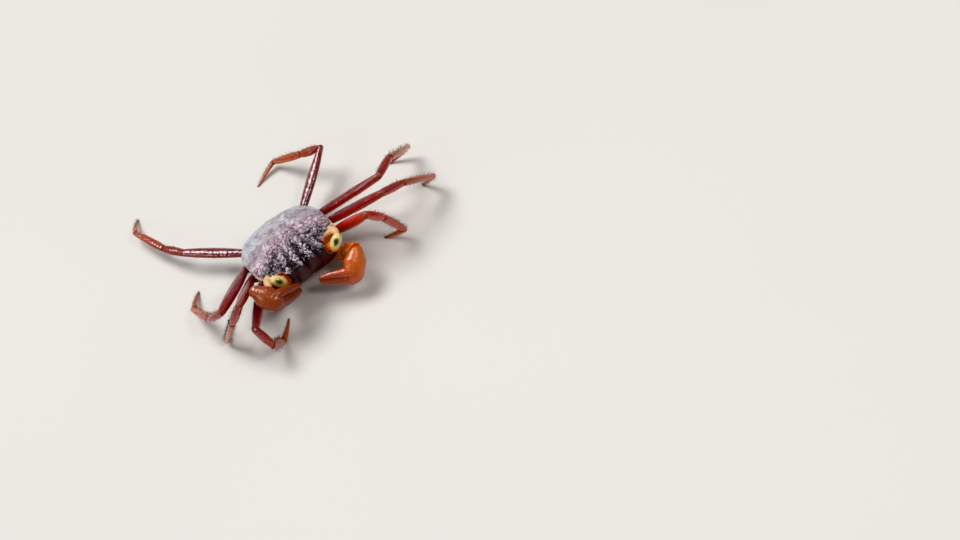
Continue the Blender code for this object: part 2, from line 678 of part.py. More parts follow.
def antenna(side):
    """A short feeler that leaves a small knob beside the front."""
    root, knob_end, middle, tip = [mirrored(p, side) for p in ANTENNA]
    way = (knob_end - root).normalized()
    up = Vector((0, 0, 1))
    line = curve_through([knob_end + way * GAP / 2, middle, tip], FEELER_STEPS)
    loops = []
    for k, centre in enumerate(line):
        along = line[min(k + 1, len(line) - 1)] - line[max(k - 1, 0)]
        if k == 0:
            along = way
        radius = mix(*ANTENNA_RADIUS, k / (len(line) - 1))
        loops.append(ring(centre, along, up, radius, radius, FEELER_SIDES))
    piece(f"antenna_{side}", to_floor_frame(loft(loops)), FEELER_COLOUR)
    knob = limb(root, knob_end - way * GAP / 2, way, way, up, KNOB, KNOB, TIP_SIDES, 3)
    return piece("antenna_knob", knob)


def into_body_frame(made):
    """Takes an object that was made in the floor frame back to the body frame."""
    back = Matrix.Rotation(NOSE_UP, 4, "X") @ Matrix.Translation((0, 0, -RIDE_HEIGHT))
    made.data.transform(back)
    return made


def build():
    shell = piece("carapace", body_shell(), BACK_COLOUR, BACK_ROUGHNESS)
    added = []
    removed = [abdomen()]
    for side in SIDES:
        removed += eye(side)
        removed.append(maxilliped(side))
        added.append(antenna(side))
        added.append(orbit_tooth(side))
        coxa, socket = cheliped(side)
        added.append(coxa)
        removed.append(socket)
        for number in LEG_ROOT:
            added.append(into_body_frame(leg(side, number)))
    combine(shell, added, removed)
    for vertex in shell.data.vertices:
        vertex.co = tilt(vertex.co)


def finish():
    """Centres the animal over the floor, turns it into metres and shades it smooth."""
    made = [o for o in bpy.context.scene.objects if o.type == "MESH"]
    corners = [v.co for o in made for v in o.data.vertices]
    centre_x = (min(c.x for c in corners) + max(c.x for c in corners)) / 2
    centre_y = (min(c.y for c in corners) + max(c.y for c in corners)) / 2
    lowest = min(c.z for c in corners)
    placing = Matrix.Scale(METRE, 4) @ Matrix.Translation((-centre_x, -centre_y, -lowest))
    for o in made:
        o.data.transform(placing)
        o.data.shade_smooth()
        o.data.set_sharp_from_angle(angle=SHARP_EDGE)


for old in list(bpy.data.objects):
    bpy.data.objects.remove(old)
build()
finish()
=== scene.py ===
import random
from math import atan2, cos, degrees, exp, pi, radians, sin, sqrt

import bmesh
import bpy
from mathutils import Matrix, Vector, kdtree, noise


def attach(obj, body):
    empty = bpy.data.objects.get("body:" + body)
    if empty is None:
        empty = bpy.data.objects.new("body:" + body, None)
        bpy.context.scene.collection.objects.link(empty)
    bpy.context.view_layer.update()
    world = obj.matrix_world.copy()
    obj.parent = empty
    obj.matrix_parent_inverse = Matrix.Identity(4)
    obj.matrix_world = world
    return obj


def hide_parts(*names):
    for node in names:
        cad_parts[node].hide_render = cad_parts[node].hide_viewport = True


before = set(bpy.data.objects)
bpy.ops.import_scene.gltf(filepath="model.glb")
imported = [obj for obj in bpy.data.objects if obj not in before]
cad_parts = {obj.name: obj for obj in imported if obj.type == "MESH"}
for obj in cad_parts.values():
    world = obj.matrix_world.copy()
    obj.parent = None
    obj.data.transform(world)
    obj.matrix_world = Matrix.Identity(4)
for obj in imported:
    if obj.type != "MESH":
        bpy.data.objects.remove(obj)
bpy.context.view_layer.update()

# Stage: a plain pale floor and wall, three softboxes, a low sun through cloud, and a camera that
# looks down on the crab from its front left. None of it belongs to the model.


def colour(code):
    """Linear colour from an sRGB hex code."""
    parts = [int(code[i:i + 2], 16) / 255 for i in (1, 3, 5)]
    return (*[c / 12.92 if c <= 0.04045 else ((c + 0.055) / 1.055) ** 2.4 for c in parts], 1.0)


def feed(tree, made, inputs):
    """Gives each named input of a node its value, or the socket that feeds it."""
    for name, value in inputs.items():
        if isinstance(value, bpy.types.NodeSocket):
            tree.links.new(value, made.inputs[name])
        else:
            made.inputs[name].default_value = value


def node(tree, kind, inputs=(), stops=(), out=0, **settings):
    """Adds a node and gives back one of its outputs. A stop is a place and a colour."""
    made = tree.nodes.new("ShaderNode" + kind)
    for name, value in settings.items():
        setattr(made, name, value)
    feed(tree, made, dict(inputs))
    if stops:
        elements = made.color_ramp.elements
        while len(elements) < len(stops):
            elements.new(0.5)
        for element, (place, code) in zip(elements, stops):
            element.position = place
            element.color = colour(code)
    return made.outputs[out]


def new_material(name):
    """An empty node material: itself, its tree, its shader, and the place that patterns read."""
    made = bpy.data.materials.new(name)
    made.use_nodes = True
    tree = made.node_tree
    return made, tree, tree.nodes["Principled BSDF"], node(tree, "TexCoord", out="Object")


floor_paint, tree, shader, place = new_material("matt_floor_paint")
# Matt emulsion: almost even, with the faint clouding of a rolled coat, and lighter far away
cloud = node(tree, "TexNoise", {"Vector": place, "Scale": 6.0, "Detail": 3.0})
tone = node(tree, "ValToRGB", {"Fac": cloud}, [(0.3, "#C9C7C3"), (0.7, "#D3D1CD")])
far = node(tree, "VectorMath", {0: place}, operation="LENGTH", out="Value")
far = node(tree, "MapRange", {"Value": far, "From Min": 0.25, "From Max": 1.0})
tone = node(tree, "Mix", {0: far, 6: tone, 7: colour("#F6F4F1")}, data_type="RGBA", out=2)
grain = node(tree, "TexNoise", {"Vector": place, "Scale": 900.0, "Detail": 2.0})
lay = node(tree, "Bump", {"Height": grain, "Strength": 0.15, "Distance": 0.0002})
feed(tree, shader, {"Base Color": tone, "Normal": lay, "Roughness": 0.85, "Specular IOR Level": 0.0})

bpy.ops.object.select_all(action="DESELECT")
bpy.ops.mesh.primitive_circle_add(vertices=96, radius=6.0, fill_type="NGON")
floor = bpy.context.object
floor.name = "floor"
floor.data.materials.append(floor_paint)

LIGHTS = [
    # name, place in metres, size in metres, power in watts, sRGB colour
    ("overhead_softbox", (-0.16, 0.30, 0.55), 0.30, 2.6, "#FFFDFA"),
    ("front_softbox", (0.20, -0.34, 0.52), 0.11, 0.9, "#FFF9F2"),
    ("side_softbox", (-0.45, -0.10, 0.30), 0.16, 0.5, "#F0F4FF"),
]
for name, spot, size, power, tint in LIGHTS:
    bpy.ops.object.light_add(type="AREA", location=spot)
    lamp = bpy.context.object
    lamp.name = name
    lamp.data.size = size
    lamp.data.energy = power
    lamp.data.color = colour(tint)[:3]
    lamp.rotation_euler = (Vector((0, 0, 0.006)) - Vector(spot)).to_track_quat("-Z", "Y").to_euler()

bpy.ops.object.light_add(type="SUN", location=(0, 0, 1))
daylight = bpy.context.object
daylight.name = "daylight"
daylight.data.energy = 1.5
daylight.data.angle = radians(30)
daylight.rotation_euler = Vector((0.05, -0.45, -0.9)).to_track_quat("-Z", "Y").to_euler()

# The camera sees a pale wall all round, brighter than the light that the wall gives
world = bpy.data.worlds.new("studio")
world.use_nodes = True
sky = world.node_tree
seen = node(sky, "LightPath")
strength = node(sky, "MapRange", {"Value": seen, "To Min": 0.38, "To Max": 0.76})
feed(sky, sky.nodes["Background"], {"Color": colour("#F2F1EF"), "Strength": strength})
bpy.context.scene.world = world
bpy.context.scene.view_settings.view_transform = "Khronos PBR Neutral"

bpy.ops.object.camera_add()
camera = bpy.context.object
camera.name = "camera"
camera.data.lens = 100
camera.data.sensor_width = 36
camera.data.clip_start = 0.01
camera.matrix_world = Matrix((
    (0.782066, 0.60075, -0.165746, -0.056268),
    (-0.5835, 0.612476, -0.533292, -0.269596),
    (-0.21886, 0.513782, 0.829535, 0.372001),
    (0, 0, 0, 1)))
bpy.context.scene.camera = camera

# Carapace: the back, side walls and breast of the living animal's shell, one hollow casting of
# chitin and lime about 16 mm wide. Lobes and grooves show where the organs lie beneath; its front
# half is rough with short ridges and its hind half is smooth. It stands in the frame's own place.
WIDTH = 16.0
RIDE_HEIGHT = 9.6
NOSE_UP = radians(10)
CENTRING = Vector((-4.21963501, -6.39051247, 0))
SIDES = {"left": 1, "right": -1}
MARGIN = [(0.0, -7.00, -1.75), (2.1, -7.25, -1.80), (4.1, -7.10, -2.00), (5.0, -6.45, -2.05),
          (6.3, -5.75, -1.95), (7.45, -5.15, -1.90), (7.45, -4.35, -2.15), (7.85, -3.60, -2.25),
          (8.0, 0.40, -2.75), (7.65, 3.20, -3.05), (6.5, 5.60, -3.25), (4.7, 6.85, -3.25),
          (2.5, 7.25, -3.05), (0.0, 7.35, -2.95)]
MARGIN_POINTS = 240          # on each side
DOME_RINGS = 84
WALL_STEPS = 5
DOME_POWER = 2.3
AXIS_Y = 0.4
BELLY = -8.15
WALL_FRONT = [(1.03, -2.5), (1.07, -3.6), (1.08, -4.7), (1.01, -4.95), (0.90, -5.3), (0.80, -6.4),
    (0.62, -7.5), (0.35, -8.1)]
WALL_SIDE = [(0.995, -3.1), (0.985, -3.6), (0.96, -4.3), (0.92, -5.0), (0.86, -5.7), (0.76, -6.5),
    (0.60, -7.4), (0.34, -8.0)]
WALL_REAR = [(0.99, -3.5), (0.97, -4.0), (0.95, -4.5), (0.92, -5.1), (0.86, -5.8), (0.76, -6.5),
    (0.60, -7.3), (0.34, -7.9)]
FURROW = [(0.0, -7.4), (0.0, -3.6)]
NECK_GROOVE = [(4.9, -4.4), (3.3, -2.9), (2.5, -1.4), (2.3, 0.2), (1.2, 1.0)]
HEART_GROOVE = [(2.3, 0.2), (1.9, 2.2), (1.2, 3.6)]
# Height, place across and along, and reach across and along; and depth, route and breadth
LOBES = [(0.42, 1.35, -6.3, 1.0, 0.75), (0.34, 3.45, -6.1, 0.9, 0.65), (0.30, 0.9, -3.6, 1.1, 1.4),
    (0.22, 0.0, 1.9, 1.3, 1.0), (0.25, 5.4, -1.2, 1.5, 1.9)]
GROOVES = [(0.50, FURROW, 0.45), (0.38, NECK_GROOVE, 0.50), (0.28, HEART_GROOVE, 0.55)]
EYE = {"left": Vector((5.9, -7.65, -2.1)), "right": Vector((-5.6, -7.3, -1.8))}
EYE_AXIS = {"left": Vector((0.72, 0.10, 0.69)), "right": Vector((-0.58, 0.30, 0.76))}
EYE_RADII = Vector((1.00, 1.00, 1.75))
ORBIT_ROOM = 0.45
EYE_CLEARANCE = 0.12
ORBIT_BACK = {"left": Vector((-0.15, 0.55, 0.15)), "right": Vector((0.0, 0.15, 0.05))}

BODY_TO_FLOOR = Matrix.Translation((0, 0, RIDE_HEIGHT)) @ Matrix.Rotation(-NOSE_UP, 4, "X")
FLOOR_TO_FRAME = Matrix.Scale(0.001, 4) @ Matrix.Translation(CENTRING)


def smoothstep(low, high, value):
    t = min(1.0, max(0.0, (value - low) / (high - low)))
    return t * t * (3 - 2 * t)


def mix(a, b, t):
    return a + (b - a) * t


def tilt(point):
    """Body frame to floor frame, in millimetres."""
    return BODY_TO_FLOOR @ Vector(point)


def mirrored(point, side):
    return Vector((point[0] * SIDES[side], point[1], point[2]))


def curve_through(points, steps):
    """Points on a smooth curve through the given ones."""
    points = [Vector(p) for p in points]
    ends = [points[0] * 2 - points[1]] + points + [points[-1] * 2 - points[-2]]
    result = []
    for i in range(1, len(ends) - 2):
        a, b, c, d = ends[i - 1:i + 3]
        for k in range(steps):
            t = k / steps
            result.append(0.5 * (2 * b + (c - a) * t + (2 * a - 5 * b + 4 * c - d) * t * t
                                 + (3 * b - a - 3 * c + d) * t ** 3))
    result.append(points[-1])
    return result


def spaced(points, count):
    """The same line cut into equal steps."""
    lengths = [0.0]
    for a, b in zip(points, points[1:]):
        lengths.append(lengths[-1] + (b - a).length)
    result = []
    i = 0
    for k in range(count + 1):
        goal = lengths[-1] * k / count
        while i < len(points) - 2 and lengths[i + 1] < goal:
            i += 1
        share = (goal - lengths[i]) / max(1e-9, lengths[i + 1] - lengths[i])
        result.append(points[i].lerp(points[i + 1], share))
    return result


def bump(x, y, at_x, at_y, across, along):
    return exp(-((x - at_x) / across) ** 2 - ((y - at_y) / along) ** 2)


def groove(x, y, route, breadth):
    """One on a route of points, falling to nothing within about its breadth."""
    nearest = 1e9
    for (ax, ay), (bx, by) in zip(route, route[1:]):
        dx = bx - ax
        dy = by - ay
        t = min(1.0, max(0.0, ((x - ax) * dx + (y - ay) * dy) / (dx * dx + dy * dy)))
        nearest = min(nearest, sqrt((x - ax - dx * t) ** 2 + (y - ay - dy * t) ** 2))
    return exp(-(nearest / breadth) ** 2)


def relief(x, y):
    """Lobes and grooves of the back, in millimetres."""
    height = sum(size * bump(abs(x), y, *lobe) for size, *lobe in LOBES)
    for depth, route, breadth in GROOVES:
        height -= depth * groove(abs(x), y, route, breadth)
    return height


def wall_at(point, level):
    """A point of the wall below a point of the margin."""
    front = 1 - smoothstep(-6.5, -5.1, point.y)
    rear = smoothstep(4.5, 6.5, point.y)
    share, height = [front * f + rear * r + (1 - front - rear) * s for f, s, r in
                     zip(WALL_FRONT[level], WALL_SIDE[level], WALL_REAR[level])]
    return Vector((point.x * share, AXIS_Y + (point.y - AXIS_Y) * share, height))


def dome_at(point, share):
    """A point of the back at a share of the way out to a point of the margin."""
    x = point.x * share
    y = AXIS_Y + (point.y - AXIS_Y) * share
    fade = 1 - smoothstep(0.97, 1.0, share) * 0.5
    return Vector((x, y, point.z * share ** DOME_POWER + relief(x, y) * fade))


def orbit_distance(point, side):
    """One on the wall of an orbit, less inside it."""
    turn = EYE_AXIS[side].rotation_difference(Vector((0, 0, 1)))
    local = turn @ (point - EYE[side] - ORBIT_BACK[side])
    return Vector([c / (r + ORBIT_ROOM) for c, r in zip(local, EYE_RADII)]).length


def hindness(point):
    """Zero at the dark front, one at the pale hind end, with a wandering border."""
    x, y, z = point
    wander = 1.3 * noise.noise(Vector((x / 2.2, y / 2.2, 4.0)))
    return smoothstep(-5.0, 5.2, y + 0.15 * abs(x) + wander)


def puff(point, size):
    """Rounded lumps of a size: one on top of a lump, zero in the crease between two."""
    near, next_near = noise.voronoi(point / size, distance_metric="DISTANCE", exponent=2.0)[0][:2]
    return smoothstep(0.0, 0.5, next_near - near)


# The swollen bars on each side of the furrow and the valleys beside them, on the left half
BARS = [[(1.15, -7.1), (1.05, -5.2), (0.85, -3.2)], [(3.35, -6.9), (3.2, -5.2), (2.8, -3.9)]]
VALLEYS = [[(2.25, -7.1), (2.15, -4.8), (1.75, -3.0)], [(4.4, -6.0), (4.0, -4.6), (3.3, -2.9)]]


def bars(point):
    return max(groove(abs(point.x), point.y, route, 0.70) for route in BARS)


# Without a seed the vector noise is another one on each run
noise.seed_set(5)


def crumple(point):
    """The puckered skin of the front half: zero in a crease, one on top of a pucker."""
    bent = point + 0.30 * noise.noise_vector(point / 0.8)
    lumps = 0.5 * puff(bent, 1.0) + 0.5 * puff(bent + Vector((9, 4, 2)), 0.5)
    patchy = 0.5 + 0.9 * noise.noise(point / 1.1 + Vector((3, 8, 1)))
    return min(1.0, max(0.0, lumps * (0.75 + 0.5 * patchy)))


def grains(point, size):
    """Rounded grains of a size, from zero between them to one on top."""
    nearest = noise.voronoi(point / size, distance_metric="DISTANCE", exponent=2.0)[0][0]
    return 1 - smoothstep(0.1, 0.55, nearest)


# The upper border of an orbit: a thick ridge from beside the front out to a blunt tooth. The left
# one lies farther behind its eye.
BORDER = [(3.85, -6.75, -1.85), (4.5, -6.35, -1.72), (5.5, -5.95, -1.62), (6.5, -5.75, -1.65),
    (7.1, -5.9, -1.75)]
TOOTH = [(6.7, -4.3, -2.1), (7.1, -5.1, -1.95), (7.3, -5.8, -1.9), (7.35, -6.45, -2.0),
    (7.3, -6.95, -2.1)]
TOOTH_SIZE = [0.35, 0.58, 0.72, 0.66, 0.40]
BORDER_SHIFT = {"left": Vector((-0.2, 0.55, 0.05)), "right": Vector((0, 0, 0))}


def border_at(point):
    """Distance to the border of the orbit on the point's own side."""
    side = "left" if point.x > 0 else "right"
    here = Vector((abs(point.x), point.y, point.z)) - BORDER_SHIFT[side]
    nearest = 1e9
    for a, b in zip(BORDER, BORDER[1:]):
        a = Vector(a)
        b = Vector(b)
        t = min(1.0, max(0.0, (here - a).dot(b - a) / (b - a).length_squared))
        nearest = min(nearest, (here - a.lerp(b, t)).length)
    return nearest


def shell_detail(point):
    """Height of the fine relief at a point of the shell, in millimetres."""
    x, y, z = point
    upper = smoothstep(-3.7, -2.6, z)
    hind = hindness(point)
    away = border_at(point)
    clear = smoothstep(0.3, 0.8, away)
    brow = (1 - smoothstep(-6.9, -6.5, y)) * (1 - smoothstep(-2.3, -1.9, z))
    swollen = bars(point)
    rough = upper * (1 - brow) * clear * (1 - 0.65 * smoothstep(0.25, 0.6, hind))
    rough *= 1 - smoothstep(0.6, 0.95, hind)
    height = rough * (0.30 + 0.10 * swollen) * (crumple(point) - 0.45)
    height += upper * (1 - brow) * 0.24 * swollen * (1 - hind)
    height += upper * (0.30 * bump(abs(x), y, 1.2, -7.0, 0.75, 0.5)
                       + 0.26 * bump(abs(x), y, 3.35, -6.9, 0.75, 0.5))
    height += upper * smoothstep(0.15, 0.4, hind) * 0.14 * noise.noise(Vector((x / 1.0, y / 0.6, 2)))
    for route in VALLEYS:
        height -= upper * 0.20 * groove(abs(x), y, route, 0.28)
    height -= upper * 0.30 * groove(x, y, FURROW, 0.24)
    height += upper * 0.05 * noise.noise(point / 1.3)
    height += upper * hind * 0.012 * grains(point, 0.40)
    stria = max(0.0, sin(2 * pi * (y + 0.55 * abs(x)) / 0.70)) ** 2
    flank = smoothstep(5.4, 6.6, abs(x)) * smoothstep(-1.5, 0.5, y)
    height += flank * upper * 0.035 * stria
    cheek = (1 - upper) * (1 - smoothstep(5.2, 6.2, -z)) * smoothstep(4.4, 5.2, abs(x))
    height += cheek * 0.06 * grains(point, 0.36)
    height += brow * (0.04 * noise.noise(point / 0.8) + 0.02 * grains(point, 0.3))
    height += 0.28 * exp(-(away / 0.36) ** 2)
    return height


def mesh_piece(name, points, faces):
    """Object from points in millimetres and faces by number."""
    mesh = bpy.data.meshes.new(name)
    mesh.from_pydata(points, [], faces)
    made = bpy.data.objects.new(name, mesh)
    bpy.context.scene.collection.objects.link(made)
    return made


def course(line, k):
    """Which way a line of points runs at one of them."""
    return line[min(k + 1, len(line) - 1)] - line[max(k - 1, 0)]


def lofted(name, rings, cap_start, cap_end):
    """Closed skin over rings of points; each end closes in a point."""
    count = len(rings[0])
    points = [cap_start] + [p for ring in rings for p in ring] + [cap_end]
    faces = []
    for i in range(count):
        j = (i + 1) % count
        faces.append((0, 1 + j, 1 + i))
        for k in range(len(rings) - 1):
            low = 1 + k * count
            faces.append((low + i, low + j, low + count + j, low + count + i))
        last = 1 + (len(rings) - 1) * count
        faces.append((last + i, last + j, len(points) - 1))
    made = mesh_piece(name, points, faces)
    bm = bmesh.new()
    bm.from_mesh(made.data)
    bmesh.ops.recalc_face_normals(bm, faces=bm.faces[:])
    bm.to_mesh(made.data)
    bm.free()
    return made


def activate(piece):
    bpy.ops.object.select_all(action="DESELECT")
    piece.select_set(True)
    bpy.context.view_layer.objects.active = piece


def apply_modifier(piece, name, kind, **settings):
    """Adds a modifier and applies it at once."""
    step = piece.modifiers.new(name, kind)
    for setting, value in settings.items():
        setattr(step, setting, value)
    activate(piece)
    bpy.ops.object.modifier_apply(modifier=step.name)


def cut_away(piece, cutter):
    apply_modifier(piece, "cut", "BOOLEAN", operation="DIFFERENCE", solver="EXACT", object=cutter)
    bpy.data.objects.remove(cutter)


def egg(centre, room, side):
    """Ellipsoid of an eye's shape at a centre, larger all round by some room."""
    bpy.ops.object.select_all(action="DESELECT")
    bpy.ops.mesh.primitive_uv_sphere_add(segments=64, ring_count=40, radius=1.0)
    made = bpy.context.object
    turn = Vector((0, 0, 1)).rotation_difference(EYE_AXIS[side]).to_matrix().to_4x4()
    size = Matrix.Diagonal((*[r + room for r in EYE_RADII], 1.0))
    made.data.transform(Matrix.Translation(centre) @ turn @ size)
    return made


def mark(piece, marks):
    """Stores what each point of a piece is marked with, by name, for its material to read."""
    for name in marks[0]:
        made = piece.data.attributes.new(name, "FLOAT", "POINT")
        made.data.foreach_set("value", [values[name] for values in marks])


def into_place(piece, material, replaced=None, body_frame=False):
    """Takes a finished piece from millimetres into the frame, in place of the node that it replaces."""
    if body_frame:
        piece.data.transform(BODY_TO_FLOOR)
    piece.data.transform(FLOOR_TO_FRAME)
    piece.data.materials.clear()
    piece.data.materials.append(material)
    activate(piece)
    bpy.ops.object.shade_smooth()
    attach(piece, "root")
    if replaced:
        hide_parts(replaced)


half_margin = spaced(curve_through(MARGIN, 24), MARGIN_POINTS)
margin = half_margin + [Vector((-p.x, p.y, p.z)) for p in reversed(half_margin[1:-1])]
bottom = Vector((0, AXIS_Y, BELLY))
walls = []
for point in margin:
    line = [dome_at(point, 1.0)] + [wall_at(point, level) for level in range(len(WALL_SIDE))]
    walls.append(curve_through(line + [bottom], WALL_STEPS)[1:-1])
rings = [[dome_at(point, k / DOME_RINGS) for point in margin] for k in range(1, DOME_RINGS + 1)]
rings += [[wall[k] for wall in walls] for k in range(len(walls[0]))]
carapace = lofted("carapace_shell", rings, Vector((0, AXIS_Y, relief(0, AXIS_Y))), bottom)
normals = [n.vector.copy() for n in carapace.data.vertex_normals]
for vertex, normal in zip(carapace.data.vertices, normals):
    vertex.co += normal * shell_detail(vertex.co)

for side in SIDES:
    cut_away(carapace, egg(EYE[side] + ORBIT_BACK[side], ORBIT_ROOM, side))
    line = [mirrored(Vector(p) + BORDER_SHIFT[side], side) for p in TOOTH]
    rings = []
    for k, (centre, size) in enumerate(zip(line, TOOTH_SIZE)):
        along = course(line, k).normalized()
        across = along.cross(Vector((0, 0, 1))).normalized()
        above = across.cross(along)
        rings.append([centre + size * (across * cos(2 * pi * i / 16)
                                       + 0.9 * above * sin(2 * pi * i / 16)) for i in range(16)])
    tooth = lofted("tooth", rings, line[0] - (line[1] - line[0]).normalized() * 0.2,
        line[-1] + (line[-1] - line[-2]).normalized() * 0.12)
    apply_modifier(tooth, "round", "SUBSURF", levels=2, render_levels=2)
    cut_away(tooth, egg(EYE[side], EYE_CLEARANCE, side))
    apply_modifier(carapace, "join", "BOOLEAN", operation="UNION", solver="EXACT", object=tooth)
    bpy.data.objects.remove(tooth)

margin_tree = kdtree.KDTree(len(margin))
for index, point in enumerate(margin):
    margin_tree.insert(point, index)
margin_tree.balance()


def markings(p):
    """Shares of the shell's colours, painted highlight and painted shade at a point of it, for its
    material.
    """
    side = "left" if p.x > 0 else "right"
    x, y, z = abs(p.x), p.y, p.z
    distance = margin_tree.find(p)[2]
    teeth = min((p - mirrored(Vector(t) + BORDER_SHIFT[side], side)).length for t in TOOTH[1:])
    swollen = bars(p)
    # Furrow and valleys, which get painted shade
    hollow = max(groove(p.x, y, FURROW, 0.30), 0.8 * max(groove(x, y, route, 0.30) for route in VALLEYS))
    return {
        "hind": hindness(p),
        # Tops of the puckers, where the pale colour is partly a painted highlight
        "pucker": min(1.0, crumple(p) * (0.66 + 0.40 * swollen) + 0.24 * swollen
                      + 0.14 * max(bump(x, y, 1.2, -7.0, 0.7, 0.35), bump(x, y, 3.35, -6.9, 0.7, 0.35))
                      - 0.13 * (1 - smoothstep(-6.4, -4.8, y))
                      + 0.10 * smoothstep(-4.6, -3.2, y) * (1 - smoothstep(-1.5, 0.5, y))),
        "edge": ((1 - smoothstep(0.08, 0.30, distance)) * smoothstep(6.0, 7.2, x)
                 * (1 - smoothstep(-2.6, -0.6, y))),
        # Walls of the orbits, which get painted shade
        "orbit": 1 - smoothstep(1.005, 1.03, orbit_distance(p, side)),
        "ember": 1 - smoothstep(-0.3, 1.3, (p - EYE[side]).dot(EYE_AXIS[side])),
        "border": max(1 - smoothstep(0.36, 0.55, border_at(p)), 1 - smoothstep(0.72, 0.88, teeth)),
        "under": 1 - smoothstep(-5.6, -3.6, z),
        "brow": ((1 - smoothstep(-6.95, -6.5, y)) * smoothstep(-5.4, -4.9, z)
                 * (1 - smoothstep(-2.3, -1.8, z))),
        "hollow": hollow * smoothstep(-3.0, -2.2, z) * (1 - hindness(p))}


marks = [markings(vertex.co) for vertex in carapace.data.vertices]
mark(carapace, marks)

hide, tree, shader, place = new_material("calcified_chitin_of_the_back")
# Calcified cuticle, a softly shining skin over coloured pigment. The front half is purple-black in its
# creases and pale lilac on its puckers, partly paler shell and partly a painted highlight; the hind half
# is a smooth bluish grey; the front is dark maroon, and the borders of the orbits are cream to orange.
mask = {name: node(tree, "Attribute", attribute_name=name, out="Fac") for name in marks[0]}
blotch = node(tree, "TexNoise", {"Vector": place, "Scale": 650.0, "Detail": 4.0, "Roughness": 0.6})
fleck = node(tree, "TexNoise", {"Vector": place, "Scale": 3000.0, "Detail": 3.0, "Roughness": 0.7})
crease = node(tree, "ValToRGB", {"Fac": mask["hind"]}, [(0.0, "#1A0E13"), (0.14, "#24151C"),
    (0.28, "#46323E"), (0.48, "#6A525E"), (0.72, "#74686F"), (1.0, "#7A7880")])
# Pale lilac of the puckers and of the hind half; on the front puckers it is partly a painted highlight
worn = node(tree, "ValToRGB", {"Fac": mask["hind"]}, [(0.0, "#B4A4B2"), (0.14, "#BCAAB6"),
    (0.28, "#CCB6C2"), (0.48, "#CAB4C0"), (0.72, "#B2A8B0"), (1.0, "#AEB0B6")])
# Share of the pale colour: pale flecks, and the tops of the puckers with their painted highlight
flecks_and_highlight = node(tree, "Math", {0: fleck, 1: 0.5}, operation="MULTIPLY")
flecks_and_highlight = node(tree, "Math", {0: flecks_and_highlight, 1: mask["pucker"]}, operation="ADD")
top = node(tree, "MapRange", {"Value": flecks_and_highlight, "From Min": 0.52, "From Max": 0.96})
cloud = node(tree, "MapRange", {"Value": blotch, "From Min": 0.38, "From Max": 0.62})
flat = node(tree, "Math", {0: cloud, 1: mask["hind"]}, operation="MULTIPLY")
top = node(tree, "Math", {0: top, 1: flat}, operation="ADD", use_clamp=True)
net = node(tree, "ValToRGB", {"Fac": fleck}, [(0.35, "#5B3A3C"), (0.65, "#8C6860")])
front = node(tree, "ValToRGB", {"Fac": blotch}, [(0.3, "#1E0A0C"), (0.55, "#34131A"), (0.8, "#4A1E24")])
# Cream of the orbit borders, brown at the eye's foot; painted shade in the orbits, orange at the foot
cream, socket = [node(tree, "Mix", {0: mask["ember"], 6: colour(lit), 7: colour(deep)},
    data_type="RGBA", out=2) for lit, deep in (("#D6A878", "#7E3C22"), ("#5A2A14", "#B45214"))]
# Over the shell's colour: pale tops with painted highlight, painted shade in the grooves and the orbits
back = crease
for share, over in ((top, worn), (mask["hollow"], colour("#140A0E")), (mask["under"], net),
    (mask["brow"], front), (mask["edge"], colour("#D9A878")), (mask["orbit"], socket),
    (mask["border"], cream)):
    back = node(tree, "Mix", {0: share, 6: back, 7: over}, data_type="RGBA", out=2)
pores = node(tree, "TexVoronoi", {"Vector": place, "Scale": 5200.0})
skin = node(tree, "Bump", {"Height": pores, "Strength": 0.2, "Distance": 0.00003})
skin = node(tree, "Bump", {"Height": fleck, "Strength": 0.5, "Distance": 0.00006, "Normal": skin})
gloss = node(tree, "MapRange", {"Value": mask["hind"], "To Min": 0.30, "To Max": 0.46})
feed(tree, shader, {"Base Color": back, "Normal": skin, "Roughness": gloss, "Subsurface Weight": 0.08,
    "Subsurface Radius": (0.9, 0.45, 0.35), "Subsurface Scale": 0.0003, "IOR": 1.54})
into_place(carapace, hide, "carapace", body_frame=True)

# Walking legs: eight, each a merus, carpus, propodus and dactyl. They are tubes of red-brown
# chitin, flattened and keeled on top, that hinge on pale membranes; the dactyls stand on the floor.
MERUS = {1: 0.63, 2: 0.79, 3: 0.82, 4: 0.71}
CARPUS = {1: 0.24, 2: 0.28, 3: 0.29, 4: 0.26}
PROPODUS = {1: 0.41, 2: 0.50, 3: 0.52, 4: 0.46}
DACTYL = {1: 0.29, 2: 0.31, 3: 0.32, 4: 0.32}
STOUTNESS = {1: 1.02, 2: 1.0, 3: 1.0, 4: 0.88}
LEG_ROOT = {1: (8.1, -2.2, -5.4), 2: (8.2, 0.4, -5.1), 3: (7.9, 2.9, -4.8), 4: (6.2, 6.0, -4.5)}
COXA_INNER = {1: (4.6, -1.9, -6.4), 2: (4.6, 0.2, -6.4), 3: (4.4, 2.1, -6.1), 4: (3.4, 4.0, -5.6)}
# Azimuth from straight ahead to the left, and elevation, of merus, carpus and propodus, and the
# azimuth of the dactyl, in degrees
POSE = {
    ("left", 1): ((36, 43), (82, -52), (82, -69), -132),
    ("left", 2): ((53, 31), (92, -20), (102, -43), -149),
    ("left", 3): ((65, 25), (123, -12), (126, -44), -116),
    ("left", 4): ((125, 13), (-134, -22), (-141, -30), -75),
    ("right", 1): ((-35, 15), (10, -20), (140, -55), 136),
    ("right", 2): ((-34, 38), (-108, -59), (-146, -64), 146),
    ("right", 3): ((-47, 26), (-146, -46), (-176, -34), 145),
    ("right", 4): ((-135, 0), (-152, -10), (-165, -7), 153),
}
HALF_GAP = 0.15              # from a joint to each segment's end
KNEE = (0.88, 0.72)
ANKLE = (0.62, 0.48)
HIP = (0.85, 0.75)
MEMBRANES = {"hip": HIP, "knee": KNEE, "wrist": (0.60, 0.45), "ankle": ANKLE}
MEMBRANE_SHARE = 0.94        # of the segments' ends
